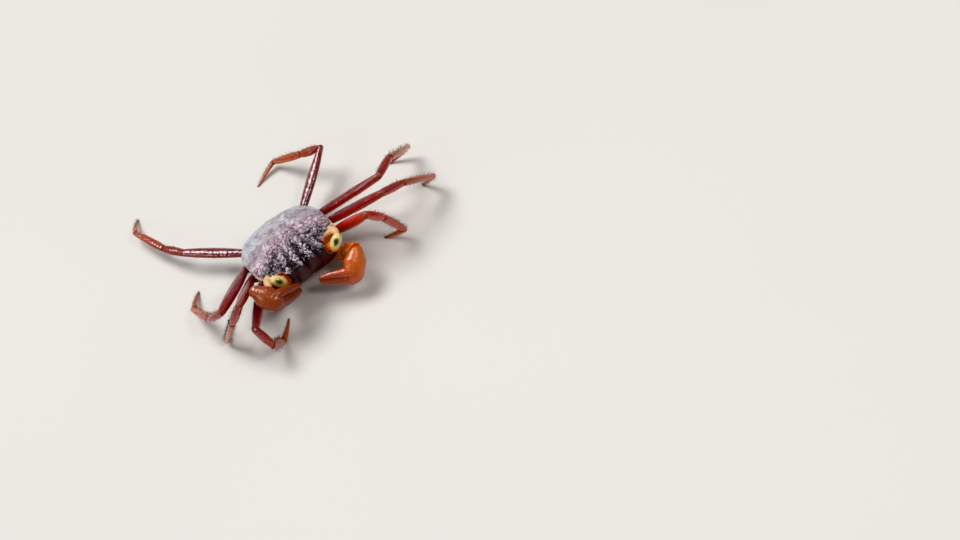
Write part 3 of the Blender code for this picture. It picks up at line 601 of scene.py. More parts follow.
# Half heights and half breadths along each segment, and how sharp its upper keel is
SEGMENTS = {
    "merus": ([(0, HIP[0]), (0.18, 1.06), (0.45, 1.26), (0.8, 1.12), (1, KNEE[0])],
              [(0, HIP[1]), (0.2, 0.86), (0.7, 0.88), (1, KNEE[1])], 0.12),
    "carpus": ([(0, KNEE[0]), (0.5, 1.02), (0.8, 0.98), (1, 0.80)],
               [(0, KNEE[1]), (0.6, 0.80), (1, 0.66)], 0.08),
    "propodus": ([(0, 0.80), (0.3, 0.95), (0.7, 0.84), (1, ANKLE[0])],
                 [(0, 0.64), (0.4, 0.66), (1, ANKLE[1])], 0.06),
    "dactyl": ([(0, ANKLE[0]), (0.25, 0.54), (0.7, 0.36), (1, 0.20)],
               [(0, ANKLE[1]), (0.3, 0.42), (0.7, 0.30), (1, 0.18)], 0.0),
}
COXA = ([(0, 1.1), (0.6, 1.1), (1, HIP[0] * 1.05)], [(0, 1.0), (0.6, 0.95), (1, HIP[1] * 1.05)])
DACTYL_BOW = 0.04            # of its length
END_INSET = 0.05             # of the rounding at a segment's ends
END_SHARE = 0.88
LEG_SIDES = 14
LEG_RINGS = 11


def profile(table, t):
    """Value at t of a table of (t, value) pairs, joined by straight lines."""
    for (t0, v0), (t1, v1) in zip(table, table[1:]):
        if t <= t1:
            return mix(v0, v1, (t - t0) / (t1 - t0))
    return table[-1][1]


def scaled(table, factor):
    return [(t, value * factor) for t, value in table]


def direction(azimuth, elevation):
    a = radians(azimuth)
    e = radians(elevation)
    return Vector((sin(a) * cos(e), -cos(a) * cos(e), sin(e)))


def leg_joints(side, number):
    """Root, knee, carpus end, ankle and tip of a leg in the floor frame."""
    lengths = [table[number] * WIDTH for table in (MERUS, CARPUS, PROPODUS)]
    joints = [tilt(mirrored(LEG_ROOT[number], side))]
    turns = POSE[side, number]
    for (azimuth, elevation), length in zip(turns[:3], lengths):
        joints.append(joints[-1] + direction(azimuth, elevation) * length)
    claw = DACTYL[number] * WIDTH
    slope = degrees(atan2(joints[-1].z, sqrt(claw ** 2 - joints[-1].z ** 2)))
    joints.append(joints[-1] + direction(turns[3], -slope) * claw)
    return joints


def lie(centre, normal, up, half_up, half_across):
    """Matrix that lays a unit disc at a centre, square to a normal and sized both ways."""
    normal = normal.normalized()
    across = normal.cross(up).normalized()
    above = across.cross(normal)
    turn = Matrix((above * half_up, across * half_across, normal)).transposed().to_4x4()
    return Matrix.Translation(centre) @ turn


def drawn_out(name, sides, stations, keel=0.0):
    """A tube drawn out by hand from a disc, ring by ring; keel pinches its upper edge."""
    bpy.ops.object.select_all(action="DESELECT")
    bpy.ops.mesh.primitive_circle_add(vertices=sides, radius=1.0, fill_type="NGON")
    piece = bpy.context.object
    piece.name = name
    for vertex in piece.data.vertices:
        x, y, z = vertex.co
        vertex.co = (x + keel * max(0.0, x) ** 4, y * (1 - keel * max(0.0, x) ** 2), z)
    bpy.ops.object.mode_set(mode="EDIT")
    bm = bmesh.from_edit_mesh(piece.data)
    placed = Matrix.Identity(4)
    for k, station in enumerate(stations):
        if k:
            bpy.ops.mesh.extrude_region()
            bm = bmesh.from_edit_mesh(piece.data)
        goal = lie(*station)
        bmesh.ops.transform(bm, matrix=goal @ placed.inverted(),
                            verts=[v for v in bm.verts if v.select])
        bmesh.update_edit_mesh(piece.data)
        placed = goal
    bpy.ops.mesh.select_all(action="SELECT")
    bpy.ops.mesh.normals_make_consistent(inside=False)
    bpy.ops.object.mode_set(mode="OBJECT")
    return piece


def bar(start, end, start_normal, end_normal, up, height, breadth, rings, bow=0.0):
    """Stations from joint to joint, with rounded-off ends that lie square to their normals."""
    along = (end - start).normalized()
    up = (up - along * up.dot(along)).normalized()
    stations = []
    for k in range(rings):
        t = k / (rings - 1)
        near_start = max(0.0, 1 - 2 * t)
        near_end = max(0.0, 2 * t - 1)
        normal = along + (start_normal - along) * near_start + (end_normal - along) * near_end
        centre = start.lerp(end, t) + up * bow * sin(pi * t)
        stations.append([centre, normal, up, profile(height, t), profile(breadth, t)])
    for end_station, way, index in ((stations[0], 1, 1), (stations[-1], -1, -1)):
        inset = end_station[1].normalized() * END_INSET * way
        stations.insert(index, [end_station[0] + inset, *end_station[1:]])
        end_station[3] *= END_SHARE
        end_station[4] *= END_SHARE
    return stations


chitin, tree, shader, place = new_material("leg_chitin")
# Thin cuticle over dark flesh: glossy and a little translucent, burgundy with a lilac tone on the upper
# faces that is partly painted sheen, painted glow below, orange at the joints and salmon towards the
# tips
reach, upper, glow, joint = [node(tree, "Attribute", attribute_name=name,
    out="Fac") for name in ("reach", "upper", "glow", "joint")]
mottle = node(tree, "TexNoise", {"Vector": place, "Scale": 900.0, "Detail": 4.0, "Roughness": 0.6})
speck = node(tree, "TexNoise", {"Vector": place, "Scale": 3000.0, "Detail": 2.0})
ground = node(tree, "ValToRGB", {"Fac": reach}, [(0.0, "#541014"), (0.42, "#6C1410"),
    (0.56, "#8A2A10"), (0.75, "#AC4A16"), (0.92, "#B45C26"), (1.0, "#542A1C")])
# Lilac of the upper faces, partly the leg's own mauve and partly painted sheen
lilac_and_sheen = node(tree, "ValToRGB", {"Fac": reach}, [(0.0, "#6A3C46"), (0.42, "#7E3A42"), (0.58, "#844240"),
    (0.8, "#945048"), (1.0, "#8E5A4A")])
shine = node(tree, "Math", {0: upper, 1: mottle}, operation="MULTIPLY")
shine = node(tree, "MapRange", {"Value": shine, "From Min": 0.34, "From Max": 0.60, "To Max": 0.75})
tone = node(tree, "Mix", {0: shine, 6: ground, 7: lilac_and_sheen}, data_type="RGBA", out=2)
# Painted glow: bright red where light shines through the cuticle
tone = node(tree, "Mix", {0: glow, 6: tone, 7: colour("#B81A06")}, data_type="RGBA", out=2)
tone = node(tree, "Mix", {0: joint, 6: tone, 7: colour("#8A4426")}, data_type="RGBA", out=2)
grain = node(tree, "TexVoronoi", {"Vector": place, "Scale": 2500.0}, feature="SMOOTH_F1")
coarse = node(tree, "Bump", {"Height": grain, "Strength": 0.8, "Distance": 0.00008}, invert=True)
fine = node(tree, "Bump", {"Height": speck, "Strength": 0.2, "Distance": 0.00004, "Normal": coarse})
feed(tree, shader, {"Base Color": tone, "Normal": fine, "Coat Normal": coarse, "Roughness": 0.24,
    "IOR": 1.56, "Coat Weight": 0.8, "Coat Roughness": 0.06, "Subsurface Weight": 0.3,
    "Subsurface Radius": (1.0, 0.22, 0.10), "Subsurface Scale": 0.0006})

membrane, tree, shader, place = new_material("joint_membrane")
# Uncalcified cuticle between the segments: soft, brown to dull orange, finely wrinkled
fold = node(tree, "TexNoise", {"Vector": place, "Scale": 2400.0, "Detail": 3.0})
tone = node(tree, "ValToRGB", {"Fac": fold}, [(0.3, "#5C221C"), (0.7, "#84402C")])
soft = node(tree, "Bump", {"Height": fold, "Strength": 0.5, "Distance": 0.00006})
feed(tree, shader, {"Base Color": tone, "Normal": soft, "Roughness": 0.45, "Subsurface Weight": 0.3,
    "Subsurface Radius": (1.0, 0.4, 0.2), "Subsurface Scale": 0.0004})

# Painted glow of light through each leg: strong on the lit left legs, weak on the right legs in shade
LEG_GLOW = {("left", 1): 0.95, ("left", 2): 0.75, ("left", 3): 0.75, ("left", 4): 0.15,
    ("right", 1): 0.45, ("right", 2): 0.35, ("right", 3): 0.30, ("right", 4): 0.15}
PALER_BY = {("left", 4): 0.30}      # towards the colour of a leg's tip, beyond the knee
GRAIN = 0.35                 # breadth of the fine grains on a segment


def finish_segment(piece, start, end, reach_start, reach_end, glow_share, roughness=0.02):
    """Smooths a segment, roughens it with fine grains, and stores what its material reads."""
    apply_modifier(piece, "smooth", "SUBSURF", levels=2, render_levels=2)
    along = (end - start) / (end - start).length_squared
    normals = [n.vector.copy() for n in piece.data.vertex_normals]
    marks = []
    bright = smoothstep(0.8, 0.95, glow_share)
    for vertex, normal in zip(piece.data.vertices, normals):
        t = (vertex.co - start).dot(along)
        reach = mix(reach_start, reach_end, t)
        outer = smoothstep(0.45, 0.65, reach)
        marks.append({
            "reach": reach,
            # Faces that look up, which get the lilac tone and painted sheen
            "upper": smoothstep(mix(-0.1, 0.3, outer), 0.85, normal.z),
            # Painted glow on the sides and lower faces, less on top and beyond the knee
            "glow": (glow_share * (1 - mix(0.9, 0.35, bright) * smoothstep(0.1, 0.75, normal.z))
                     * (1 - mix(0.85, 0.35, bright) * outer)),
            "joint": 0.35 * max(1 - smoothstep(0.0, 0.05, t), smoothstep(0.95, 1.0, t))})
        vertex.co += normal * roughness * (grains(vertex.co, GRAIN) - 0.4)
    mark(piece, marks)


bristle, tree, shader, place = new_material("bristle_chitin")
# Stiff hairs of brown cuticle, unevenly toned
shade = node(tree, "TexNoise", {"Vector": place, "Scale": 1500.0})
tone = node(tree, "ValToRGB", {"Fac": shade}, [(0.3, "#34181A"), (0.7, "#6A4034")])
feed(tree, shader, {"Base Color": tone, "Roughness": 0.4, "IOR": 1.54})

BRISTLED = {"carpus": 9, "propodus": 15, "dactyl": 14}      # bristles in each row
BRISTLE_ROWS = (0.0, 0.55, -0.55, pi)                       # angles from the upper edge
BRISTLE_SEAT = 0.94                                         # of the way out to the skin
BRISTLE_RADIUS = 0.040
BRISTLE_PATCH = 0.003
SPINE_AT = 0.90                                             # along the merus
SPINE_LENGTH = 0.42
SPINE_RADIUS = 0.17
dice = random.Random(5)


def spikes(name, list_of_spikes, sides):
    """One mesh of thin cones, each a root, a tip, a radius and its place on the unwrapped limb."""
    points = []
    faces = []
    places = []
    for root, tip, radius, place in list_of_spikes:
        way = (tip - root).normalized()
        side_way = way.orthogonal().normalized()
        first = len(points)
        for k in range(sides):
            around = Matrix.Rotation(2 * pi * k / sides, 3, way) @ side_way
            points.append(root + around * radius)
        points.append(tip)
        for k in range(sides):
            faces.append((first + k, first + (k + 1) % sides, first + sides))
            places.append(place)
        faces.append(tuple(first + k for k in reversed(range(sides))))
        places.append(place)
    made = mesh_piece(name, points, faces)
    unwrap = made.data.uv_layers.new(name="OFBake")
    for face, (u, v) in zip(made.data.polygons, places):
        for corner, loop in enumerate(face.loop_indices):
            turn = 2 * pi * corner / len(face.loop_indices)
            unwrap.data[loop].uv = (u + BRISTLE_PATCH / 2 * cos(turn),
                v + BRISTLE_PATCH / 2 * sin(turn))
    return made


for side in SIDES:
    for number in LEG_ROOT:
        leg = f"leg_{side}_{number}"
        stout = STOUTNESS[number]
        bristles = []
        joints = leg_joints(side, number)
        ways = [(b - a).normalized() for a, b in zip(joints, joints[1:])]
        inner = tilt(mirrored(COXA_INNER[number], side))
        coxa_way = (joints[0] - inner).normalized()
        bisectors = [(a + b).normalized() for a, b in zip([coxa_way] + ways, ways)] + [ways[-1]]
        bend = ways[0].cross(ways[2]).normalized()
        total = sum((b - a).length for a, b in zip(joints, joints[1:]))
        covered = 0.0
        for index, (segment, (height, breadth, keel)) in enumerate(SEGMENTS.items()):
            start = joints[index] + bisectors[index] * HALF_GAP
            end = joints[index + 1] - bisectors[index + 1] * HALF_GAP
            bow = 0.0
            if segment == "dactyl":
                end = joints[index + 1]
                bow = -DACTYL_BOW * WIDTH * DACTYL[number]
            above = bend.cross(ways[index])
            stations = bar(start, end, bisectors[index], bisectors[index + 1], above,
                scaled(height, stout), scaled(breadth, stout), LEG_RINGS, bow)
            shell = drawn_out(f"{leg}_{segment}_shell", LEG_SIDES, stations, keel)
            above.normalize()
            beside = ways[index].cross(above)
            crest = atan2(beside.z, above.z)
            for row, angle in enumerate(BRISTLE_ROWS):
                for k in range(BRISTLED.get(segment, 0)):
                    t = (k + 0.4 + 0.5 * dice.random()) / BRISTLED[segment]
                    stray = 0.6 * (dice.random() - 0.5)
                    turned = crest + angle + stray
                    out = (above * cos(turned) + beside * sin(turned)).normalized()
                    root = start.lerp(end, t) + above * bow * sin(pi * t) + stout * BRISTLE_SEAT * (
                        above * cos(turned) * profile(height, t)
                        + beside * sin(turned) * profile(breadth, t))
                    length = (0.40 + 0.45 * dice.random()) * (0.75 if segment == "dactyl" else 1.0)
                    tip = root + (out * 0.9 + ways[index] * 0.4).normalized() * length
                    if tip.z > 0.05:
                        bristles.append((root, tip, BRISTLE_RADIUS, (
                            0.05 + 0.9 * (row + 0.5 + stray) / len(BRISTLE_ROWS),
                            0.02 + 0.32 * (index - 1 + 0.95 * t))))
            if segment == "merus":
                spine = start.lerp(end, SPINE_AT) + above * profile(height, SPINE_AT) * stout * 0.9
                spine_way = above * 0.7 + ways[index] * 0.6
                bristles.append((spine, spine + spine_way * SPINE_LENGTH, SPINE_RADIUS, (0.5, 0.01)))
            length = (joints[index + 1] - joints[index]).length
            paler = 0.0 if segment == "merus" else PALER_BY.get((side, number), 0.0)
            finish_segment(shell, start, end, mix(covered / total, 0.9, paler),
                mix((covered + length) / total, 0.9, paler), LEG_GLOW[side, number])
            covered += length
            for vertex in shell.data.vertices:
                vertex.co.z = max(vertex.co.z, 0.0)
            into_place(shell, chitin, f"{leg}_{segment}")
        into_place(spikes(f"{leg}_bristles", bristles, 3), bristle)
        outer = joints[0] - bisectors[0] * HALF_GAP
        stations = bar(inner, outer, coxa_way, bisectors[0], bend.cross(coxa_way),
                       *[scaled(table, stout) for table in COXA], 7)
        coxa = drawn_out(f"{leg}_coxa", LEG_SIDES, stations)
        finish_segment(coxa, inner, outer, 0.0, 0.0, 0.0)
        into_place(coxa, chitin)
        for index, (name, half) in enumerate(MEMBRANES.items()):
            bpy.ops.mesh.primitive_uv_sphere_add(segments=20, ring_count=12, radius=1.0)
            ball = bpy.context.object
            ball.name = f"{leg}_{name}_membrane"
            high, broad = [size * stout * MEMBRANE_SHARE for size in half]
            ball.data.transform(lie(joints[index], bisectors[index], bend.cross(ways[index]), high,
                                    broad) @ Matrix.Diagonal((1, 1, 0.5, 1)))
            into_place(ball, membrane)

# Chelipeds: the two claws, held folded before the face. Merus and carpus carry a swollen palm
# that runs on into its fixed finger; the movable finger hinges above it. Glossy orange chitin.
CHELIPED = {
    # root, elbow, wrist, knuckle and tip in the floor frame, and the way that the outer face looks
    "left": ((4.8, -6.0, 4.2), (6.4, -8.2, 5.3), (8.1, -9.9, 6.9), (5.0, -12.3, 5.0), (0.1, -9.4, 5.4),
             (0.25, -0.66, 0.70)),
    "right": ((-4.8, -6.0, 4.2), (-8.2, -8.2, 7.1), (-10.1, -7.0, 10.6), (-8.0, -10.1, 9.3),
              (-3.2, -9.8, 7.3), (-0.25, -0.62, 0.74)),
}
CLAW_INNER = (3.2, -4.0, -6.0)
CLAW_ROOT = 1.05
CLAW_MERUS = ([(0, CLAW_ROOT), (0.6, 1.3), (1, 1.15)], [(0, CLAW_ROOT), (0.6, 1.2), (1, 1.0)])
CLAW_CARPUS = ([(0, 1.15), (0.5, 1.45), (1, 1.05)], [(0, 1.0), (0.5, 1.35), (1, 0.95)])
CLAW_COXA = ([(0, 1.2), (1, CLAW_ROOT)], [(0, 1.2), (1, CLAW_ROOT)])
HAND = ([(0, 1.05), (0.2, 2.05), (0.4, 1.82), (0.5, 1.42), (0.6, 1.14), (0.8, 0.84), (0.93, 0.60),
    (1, 0.36)], [(0, 0.95), (0.2, 1.50), (0.4, 1.34), (0.6, 0.94), (0.8, 0.70), (0.93, 0.52),
    (1, 0.32)])
FINGER = ([(0, 0.60), (0.15, 0.90), (0.3, 0.86), (0.7, 0.62), (0.9, 0.45), (1, 0.28)],
    [(0, 0.58), (0.15, 0.84), (0.3, 0.80), (0.7, 0.55), (0.9, 0.40), (1, 0.26)])
KNUCKLE_SPREAD = 0.93
TIP_SPREAD = 0.46
PALM_SAG = 0.25
HEEL_SAG = 0.50
FINGER_BOW = 0.20
FREE_ROOT_SUNK = 0.30        # towards the palm, and back along the finger
FREE_ROOT_BACK = 0.70
# Painted shade on each claw: the right one darkened as in the body's shadow
CLAW_PAINTED_SHADE = {"left": 0.0, "right": 0.62}
TEETH = 9                    # on each finger
TOOTH_RADIUS = 0.13
TOOTH_LENGTH = 0.26
TOOTH_SEAT = 0.92            # of the way out to the skin
SHARPEST = radians(45)


def eased(normal, way):
    """The normal of a joint, turned towards a piece's own way where the joint bends sharply."""
    angle = way.angle(normal)
    return normal if angle < SHARPEST else way.slerp(normal, SHARPEST / angle)


claw_skin, tree, shader, place = new_material("claw_chitin")
# Thin glossy cuticle over orange flesh: translucent, paler on the swollen palm and redder on the
# fingers, with fine grains on top; painted light pales faces that look up, painted shade darkens the
# right claw
reach, upper, shade = [node(tree, "Attribute", attribute_name=name, out="Fac") for name in ("reach",
    "upper", "shade")]
mottle = node(tree, "TexNoise", {"Vector": place, "Scale": 600.0, "Detail": 4.0})
speck = node(tree, "TexNoise", {"Vector": place, "Scale": 2600.0, "Detail": 2.0})
along = node(tree, "ValToRGB", {"Fac": reach}, [(0.0, "#6E2010"), (0.22, "#B0500E"), (0.45, "#C05A12"),
    (0.62, "#AC420A"), (0.8, "#8E2804"), (1.0, "#802004")])
# Paler orange for the faces that look up: painted light from above
pale = node(tree, "Mix", {0: mottle, 6: colour("#AE460C"), 7: colour("#CC7224")}, data_type="RGBA",
    out=2)
painted_light_on_top = node(tree, "Math", {0: upper, 1: 0.25}, operation="MULTIPLY")
tone = node(tree, "Mix", {0: painted_light_on_top, 6: along, 7: pale}, data_type="RGBA", out=2)
# Painted shade: the shaded claw turns dark brown
tone = node(tree, "Mix", {0: shade, 6: tone, 7: colour("#561804")}, data_type="RGBA", out=2)
grain = node(tree, "TexVoronoi", {"Vector": place, "Scale": 2900.0, "Detail": 1.0})
fine = node(tree, "Bump", {"Height": speck, "Strength": 0.2, "Distance": 0.00004})
fine = node(tree, "Bump", {"Height": grain, "Strength": 0.6, "Distance": 0.00006, "Normal": fine})
feed(tree, shader, {"Base Color": tone, "Normal": fine, "Coat Normal": fine, "Roughness": 0.32,
    "IOR": 1.54, "Coat Weight": 0.6, "Coat Roughness": 0.05, "Subsurface Weight": 0.35,
    "Subsurface Radius": (1.0, 0.35, 0.12), "Subsurface Scale": 0.0008})


def claw_piece(side, name, sides, stations, ends, reach, roughness, replaced=True):
    """Draws out a piece of a claw, finishes it with its painted shade, and puts it in place."""
    node_name = f"claw_{side}_{name}"
    piece = drawn_out(node_name + "_shell" * replaced, sides, stations)
    finish_segment(piece, *ends, *reach, 0.0, roughness)
    mark(piece, [{"shade": CLAW_PAINTED_SHADE[side]}] * len(piece.data.vertices))
    into_place(piece, claw_skin, node_name if replaced else None)


tooth_horn, tree, shader, place = new_material("worn_horn_of_the_teeth")
# The harder, paler cuticle of the cutting edges, unevenly toned
shade = node(tree, "TexNoise", {"Vector": place, "Scale": 2200.0})
tone = node(tree, "ValToRGB", {"Fac": shade}, [(0.3, "#B8703A"), (0.7, "#E2B484")])
feed(tree, shader, {"Base Color": tone, "Roughness": 0.3})

for side in SIDES:
    root, elbow, wrist, knuckle, tip, face = [Vector(p) for p in CHELIPED[side]]
    face.normalize()
    inner = tilt(mirrored(CLAW_INNER, side))
    chain = [inner, root, elbow, wrist, knuckle, tip]
    ways = [(b - a).normalized() for a, b in zip(chain, chain[1:])]
    at_root, at_elbow, at_wrist = [(a + b).normalized() for a, b in zip(ways, ways[1:4])]
    outer_edge = face.cross(ways[1])
    stations = bar(inner, root - at_root * HALF_GAP, ways[0], at_root, outer_edge, *CLAW_COXA, 6)
    claw_piece(side, "coxa", 16, stations, (inner, root), (0.0, 0.05), 0.02, False)
    stations = bar(root + at_root * HALF_GAP, elbow - at_elbow * HALF_GAP, at_root, at_elbow,
        outer_edge, *CLAW_MERUS, 9)
    claw_piece(side, "merus", 16, stations, (root, elbow), (0.05, 0.2), 0.05)
    bent = eased(at_wrist, ways[2])
    stations = bar(elbow + at_elbow * HALF_GAP, wrist - bent * HALF_GAP, at_elbow, bent,
        face.cross(ways[2]), *CLAW_CARPUS, 9)
    claw_piece(side, "carpus", 16, stations, (elbow, wrist), (0.2, 0.38), 0.07)

    palm_way = ways[3]
    finger_way = ways[4]
    hand = 1 if face.cross(palm_way).y > 0 else -1
    upper_way = face.cross(palm_way).normalized() * hand
    finger_upper = (upper_way - finger_way * upper_way.dot(finger_way)).normalized()
    first = knuckle - finger_upper * KNUCKLE_SPREAD + finger_way
    last = tip - finger_upper * TIP_SPREAD
    line = curve_through([wrist + at_wrist * HALF_GAP, wrist.lerp(knuckle, 0.5) - upper_way * PALM_SAG,
                          knuckle - finger_upper * HEEL_SAG, first,
                          first.lerp(last, 0.5) - finger_upper * FINGER_BOW, last], 4)
    stations = []
    for k, centre in enumerate(line):
        t = k / (len(line) - 1)
        along = course(line, k)
        normal = eased(at_wrist, palm_way) if k == 0 else along
        stations.append([centre, normal, face.cross(along) * hand, profile(HAND[0], t),
                         profile(HAND[1], t)])
    heel = stations[0]
    stations[:1] = [[heel[0] + palm_way * inset, *heel[1:3], heel[3] * share, heel[4] * share]
                    for inset, share in ((0.0, 0.70), (0.10, 0.92), (0.30, 1.16))]
    claw_piece(side, "palm", 20, stations, (wrist, tip), (0.38, 0.95), 0.05)
    free_root = (knuckle + finger_upper * (KNUCKLE_SPREAD - FREE_ROOT_SUNK)
                 - finger_way * FREE_ROOT_BACK)
    free_tip = tip + finger_upper * TIP_SPREAD
    stations = bar(free_root, free_tip, finger_way, finger_way, finger_upper, *FINGER, 11, FINGER_BOW)
    claw_piece(side, "finger", 16, stations, (free_root, tip), (0.60, 1.0), 0.03)
    cusps = []
    for k in range(TEETH):
        t = 0.16 + 0.74 * k / (TEETH - 1)
        size = 1 - 0.4 * abs(2 * t - 0.9)       # largest near the middle
        upper_root = free_root.lerp(free_tip, t)
        upper_root += finger_upper * (FINGER_BOW * sin(pi * t) - profile(FINGER[0], t) * TOOTH_SEAT)
        lower_root = first.lerp(last, t) - finger_upper * FINGER_BOW * 4 * t * (1 - t)
        lower_root += finger_upper * profile(HAND[0], mix(0.6, 1.0, t)) * TOOTH_SEAT
        cusps.append((upper_root, upper_root - finger_upper * TOOTH_LENGTH * size,
                      TOOTH_RADIUS * size, (0.25, t)))
        lower_root += finger_way * 0.2
        cusps.append((lower_root, lower_root + finger_upper * TOOTH_LENGTH * size,
                      TOOTH_RADIUS * size, (0.75, t)))
    into_place(spikes(f"claw_{side}_teeth", cusps, 8), tooth_horn)

# Eyes: long ovals of clear cuticle on short stalks, set in the orbits. Yellow pigment shows
# through, with a dark pool in the middle of the face that looks up and ahead.
EYE_SEAT = 0.85
STALK_ROOT = (4.0, -6.2, -3.3)
IRIS_UP = 0.22               # of the half length, towards the outer end
PUPIL = {"left": Vector((-0.25, -0.75, 0.62)), "right": Vector((-0.10, -0.78, 0.62))}

cornea, tree, shader, place = new_material("clear_cuticle_of_the_eye")
# Clear wet cuticle over yellow pigment: the facets are too fine to show, so a faint grain stands
# for them
position, low = [node(tree, "Attribute", attribute_name=name, out="Fac") for name in ("iris", "low")]
mottle = node(tree, "TexNoise", {"Vector": place, "Scale": 2500.0, "Detail": 3.0})
uneven = node(tree, "Math", {0: mottle, 1: 0.16}, operation="MULTIPLY")
uneven = node(tree, "Math", {0: position, 1: uneven}, operation="ADD")
iris = node(tree, "ValToRGB", {"Fac": uneven}, [(0.0, "#10180C"), (0.26, "#1E2A14"), (0.42, "#4A5424"),
    (0.56, "#A09A48"), (0.72, "#D4BE78"), (1.0, "#D8B880")])
tone = node(tree, "Mix", {0: low, 6: iris, 7: colour("#C4661A")}, data_type="RGBA", out=2)
facets = node(tree, "TexVoronoi", {"Vector": place, "Scale": 14000.0})
fine = node(tree, "Bump", {"Height": facets, "Strength": 0.08, "Distance": 0.00002})
feed(tree, shader, {"Base Color": tone, "Normal": fine, "Roughness": 0.18, "Coat Weight": 1.0,
    "Coat Roughness": 0.03, "Subsurface Weight": 0.15, "Subsurface Radius": (1.0, 0.7, 0.3),
    "Subsurface Scale": 0.0003})

for side in SIDES:
    centre = EYE[side]
    axis = EYE_AXIS[side].normalized()
    ball = egg(centre, 0.0, side)
    ball.name = f"eye_{side}_cornea"
    outward = PUPIL[side].normalized()
    outward = (outward - axis * outward.dot(axis)).normalized()
    marks = []
    for vertex in ball.data.vertices:
        v = vertex.co - centre
        along = v.dot(axis) / EYE_RADII[2]
        toward = v.dot(outward) / EYE_RADII[0]
        across = v.dot(axis.cross(outward)) / EYE_RADII[0]
        away = sqrt(((along - IRIS_UP) / 0.86) ** 2 + (across / 0.98) ** 2)
        marks.append({"iris": away if toward > 0 else 1.0, "low": smoothstep(0.15, 0.85, -along)})
    mark(ball, marks)
    into_place(ball, cornea, f"eye_{side}", body_frame=True)

    stalk_root = mirrored(STALK_ROOT, side)
    way = (centre - stalk_root).normalized()
    girth = [(0, 0.75), (0.5, 0.68), (1, 0.82)]
    stalk = drawn_out(f"eyestalk_{side}_shell", 16,
                      bar(stalk_root, centre - way * EYE_SEAT, way, way, Vector((0, 0, 1)), girth,
                          girth, 7))
    finish_segment(stalk, stalk_root, centre, 0.3, 0.5, 0.0)
    into_place(stalk, claw_skin, f"eyestalk_{side}", body_frame=True)

# Antennae: a short thin feeler beside each side of the front, ringed, on a small knob.
ANTENNA = [(2.7, -6.5, -4.3), (2.6, -8.0, -4.15), (2.5, -8.45, -3.6), (2.35, -8.7, -2.8)]
ANTENNA_RADIUS = (0.24, 0.07)
KNOB = [(0, 0.5), (1, 0.36)]

feeler_skin, tree, shader, place = new_material("dark_chitin_of_the_feelers")
# Thin brown-black cuticle with a satin gloss, a little paler between the rings
shade = node(tree, "TexNoise", {"Vector": place, "Scale": 2600.0, "Detail": 3.0})
tone = node(tree, "ValToRGB", {"Fac": shade}, [(0.3, "#240C10"), (0.7, "#46201E")])
fine = node(tree, "Bump", {"Height": shade, "Strength": 0.4, "Distance": 0.00004})
feed(tree, shader, {"Base Color": tone, "Normal": fine, "Roughness": 0.38})

for side in SIDES:
    root, knob_end, middle, tip = [mirrored(p, side) for p in ANTENNA]
    way = (knob_end - root).normalized()
    line = curve_through([knob_end + way * HALF_GAP, middle, tip], 8)
    stations = []
    for k, centre in enumerate(line):
        along = course(line, k)
        radius = mix(*ANTENNA_RADIUS, k / (len(line) - 1)) * (1.0 if k % 2 else 0.82)
        stations.append([centre, along, Vector((1, 0, 0)), radius, radius])
    feeler = drawn_out(f"antenna_{side}_feeler", 10, stations)
    finish_segment(feeler, knob_end, tip, 0.0, 0.3, 0.0, 0.0)
    into_place(feeler, feeler_skin, f"antenna_{side}", body_frame=True)
    knob = drawn_out(f"antenna_{side}_knob", 12, bar(root, knob_end, way, way, Vector((0, 0, 1)),
                                                     KNOB, KNOB, 4))
    finish_segment(knob, root, knob_end, 0.1, 0.2, 0.0)
    into_place(knob, feeler_skin, body_frame=True)

# Mouthparts: the outer pair, two jointed plates that close over the mouth like doors. They and the
# abdomen are of duller, thinner shell than the back.
under_shell, tree, shader, place = new_material("pale_chitin_of_the_underside")
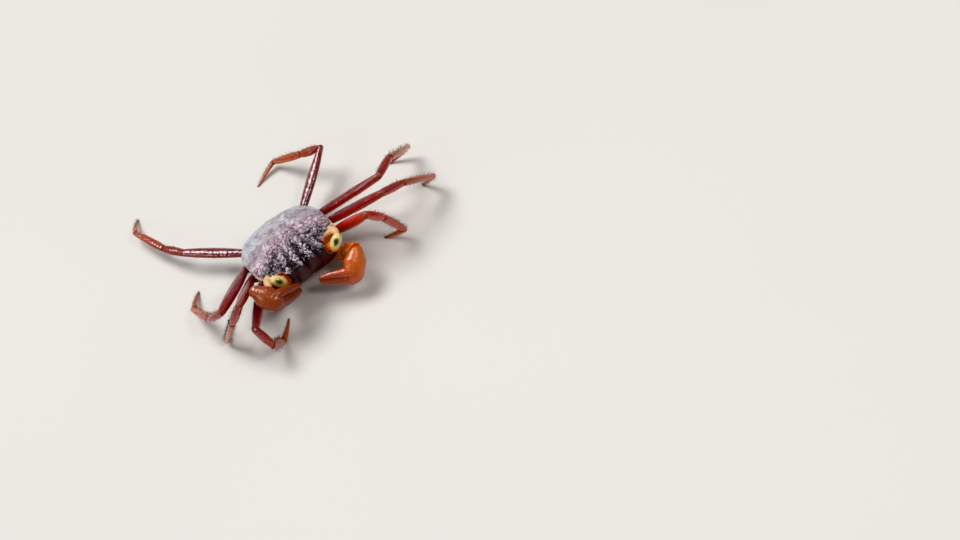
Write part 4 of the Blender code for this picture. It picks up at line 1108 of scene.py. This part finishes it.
# Thin cuticle over pale flesh: greyish rose with brown clouds and a satin gloss
cloud = node(tree, "TexNoise", {"Vector": place, "Scale": 700.0, "Detail": 4.0, "Roughness": 0.6})
speck = node(tree, "TexNoise", {"Vector": place, "Scale": 3200.0, "Detail": 2.0})
tone = node(tree, "ValToRGB", {"Fac": cloud}, [(0.3, "#5A3A38"), (0.5, "#7E5C58"), (0.72, "#A08A88")])
fine = node(tree, "Bump", {"Height": speck, "Strength": 0.5, "Distance": 0.00005})
feed(tree, shader, {"Base Color": tone, "Normal": fine, "Roughness": 0.42, "Subsurface Weight": 0.15,
    "Subsurface Radius": (1.0, 0.5, 0.35), "Subsurface Scale": 0.0004})

MAXILLIPED_PATH = [(1.55, -6.05, -5.0), (1.50, -5.75, -6.0), (1.35, -5.15, -6.9), (1.1, -4.3, -7.6)]
MAXILLIPED_WIDTH = [(0, 1.15), (0.4, 1.25), (0.8, 0.95), (1, 0.55)]
MAXILLIPED_DEPTH = [(0, 0.35), (0.5, 0.50), (1, 0.35)]


def plate_stations(route, half_width, half_depth, steps, notches=0):
    line = curve_through(route, steps)
    stations = []
    for k, centre in enumerate(line):
        t = k / (len(line) - 1)
        along = course(line, k)
        deep = profile(half_depth, t) * (1 - 0.16 * (1 - cos(2 * pi * notches * t)) / 2)
        stations.append([centre, along, Vector((1, 0, 0)).cross(along), deep, profile(half_width, t)])
    return stations


for side in SIDES:
    route = [mirrored(p, side) for p in MAXILLIPED_PATH]
    plate = drawn_out(f"maxilliped_{side}_plates", 18,
                      plate_stations(route, MAXILLIPED_WIDTH, MAXILLIPED_DEPTH, 5))
    finish_segment(plate, route[0], route[-1], 0.2, 0.5, 0.0)
    into_place(plate, under_shell, f"maxilliped_{side}", body_frame=True)

# Abdomen: seven narrow rings folded under the breast, of the same duller shell as the mouthparts.
ABDOMEN_ROUTE = [(0, 7.15, -3.7), (0, 7.2, -4.7), (0, 6.65, -5.9), (0, 5.5, -7.0), (0, 3.7, -7.8),
    (0, 1.2, -8.2), (0, -1.2, -8.1), (0, -2.7, -7.9)]
ABDOMEN_WIDTH = [(0, 2.6), (0.25, 2.7), (0.6, 1.9), (0.9, 1.0), (1, 0.6)]
ABDOMEN_DEPTH = [(0, 0.42), (0.8, 0.42), (1, 0.3)]
flap = drawn_out("abdomen_rings", 20, plate_stations(ABDOMEN_ROUTE, ABDOMEN_WIDTH, ABDOMEN_DEPTH, 6, 7))
finish_segment(flap, Vector(ABDOMEN_ROUTE[0]), Vector(ABDOMEN_ROUTE[-1]), 0.1, 0.2, 0.0)
into_place(flap, under_shell, "abdomen", body_frame=True)
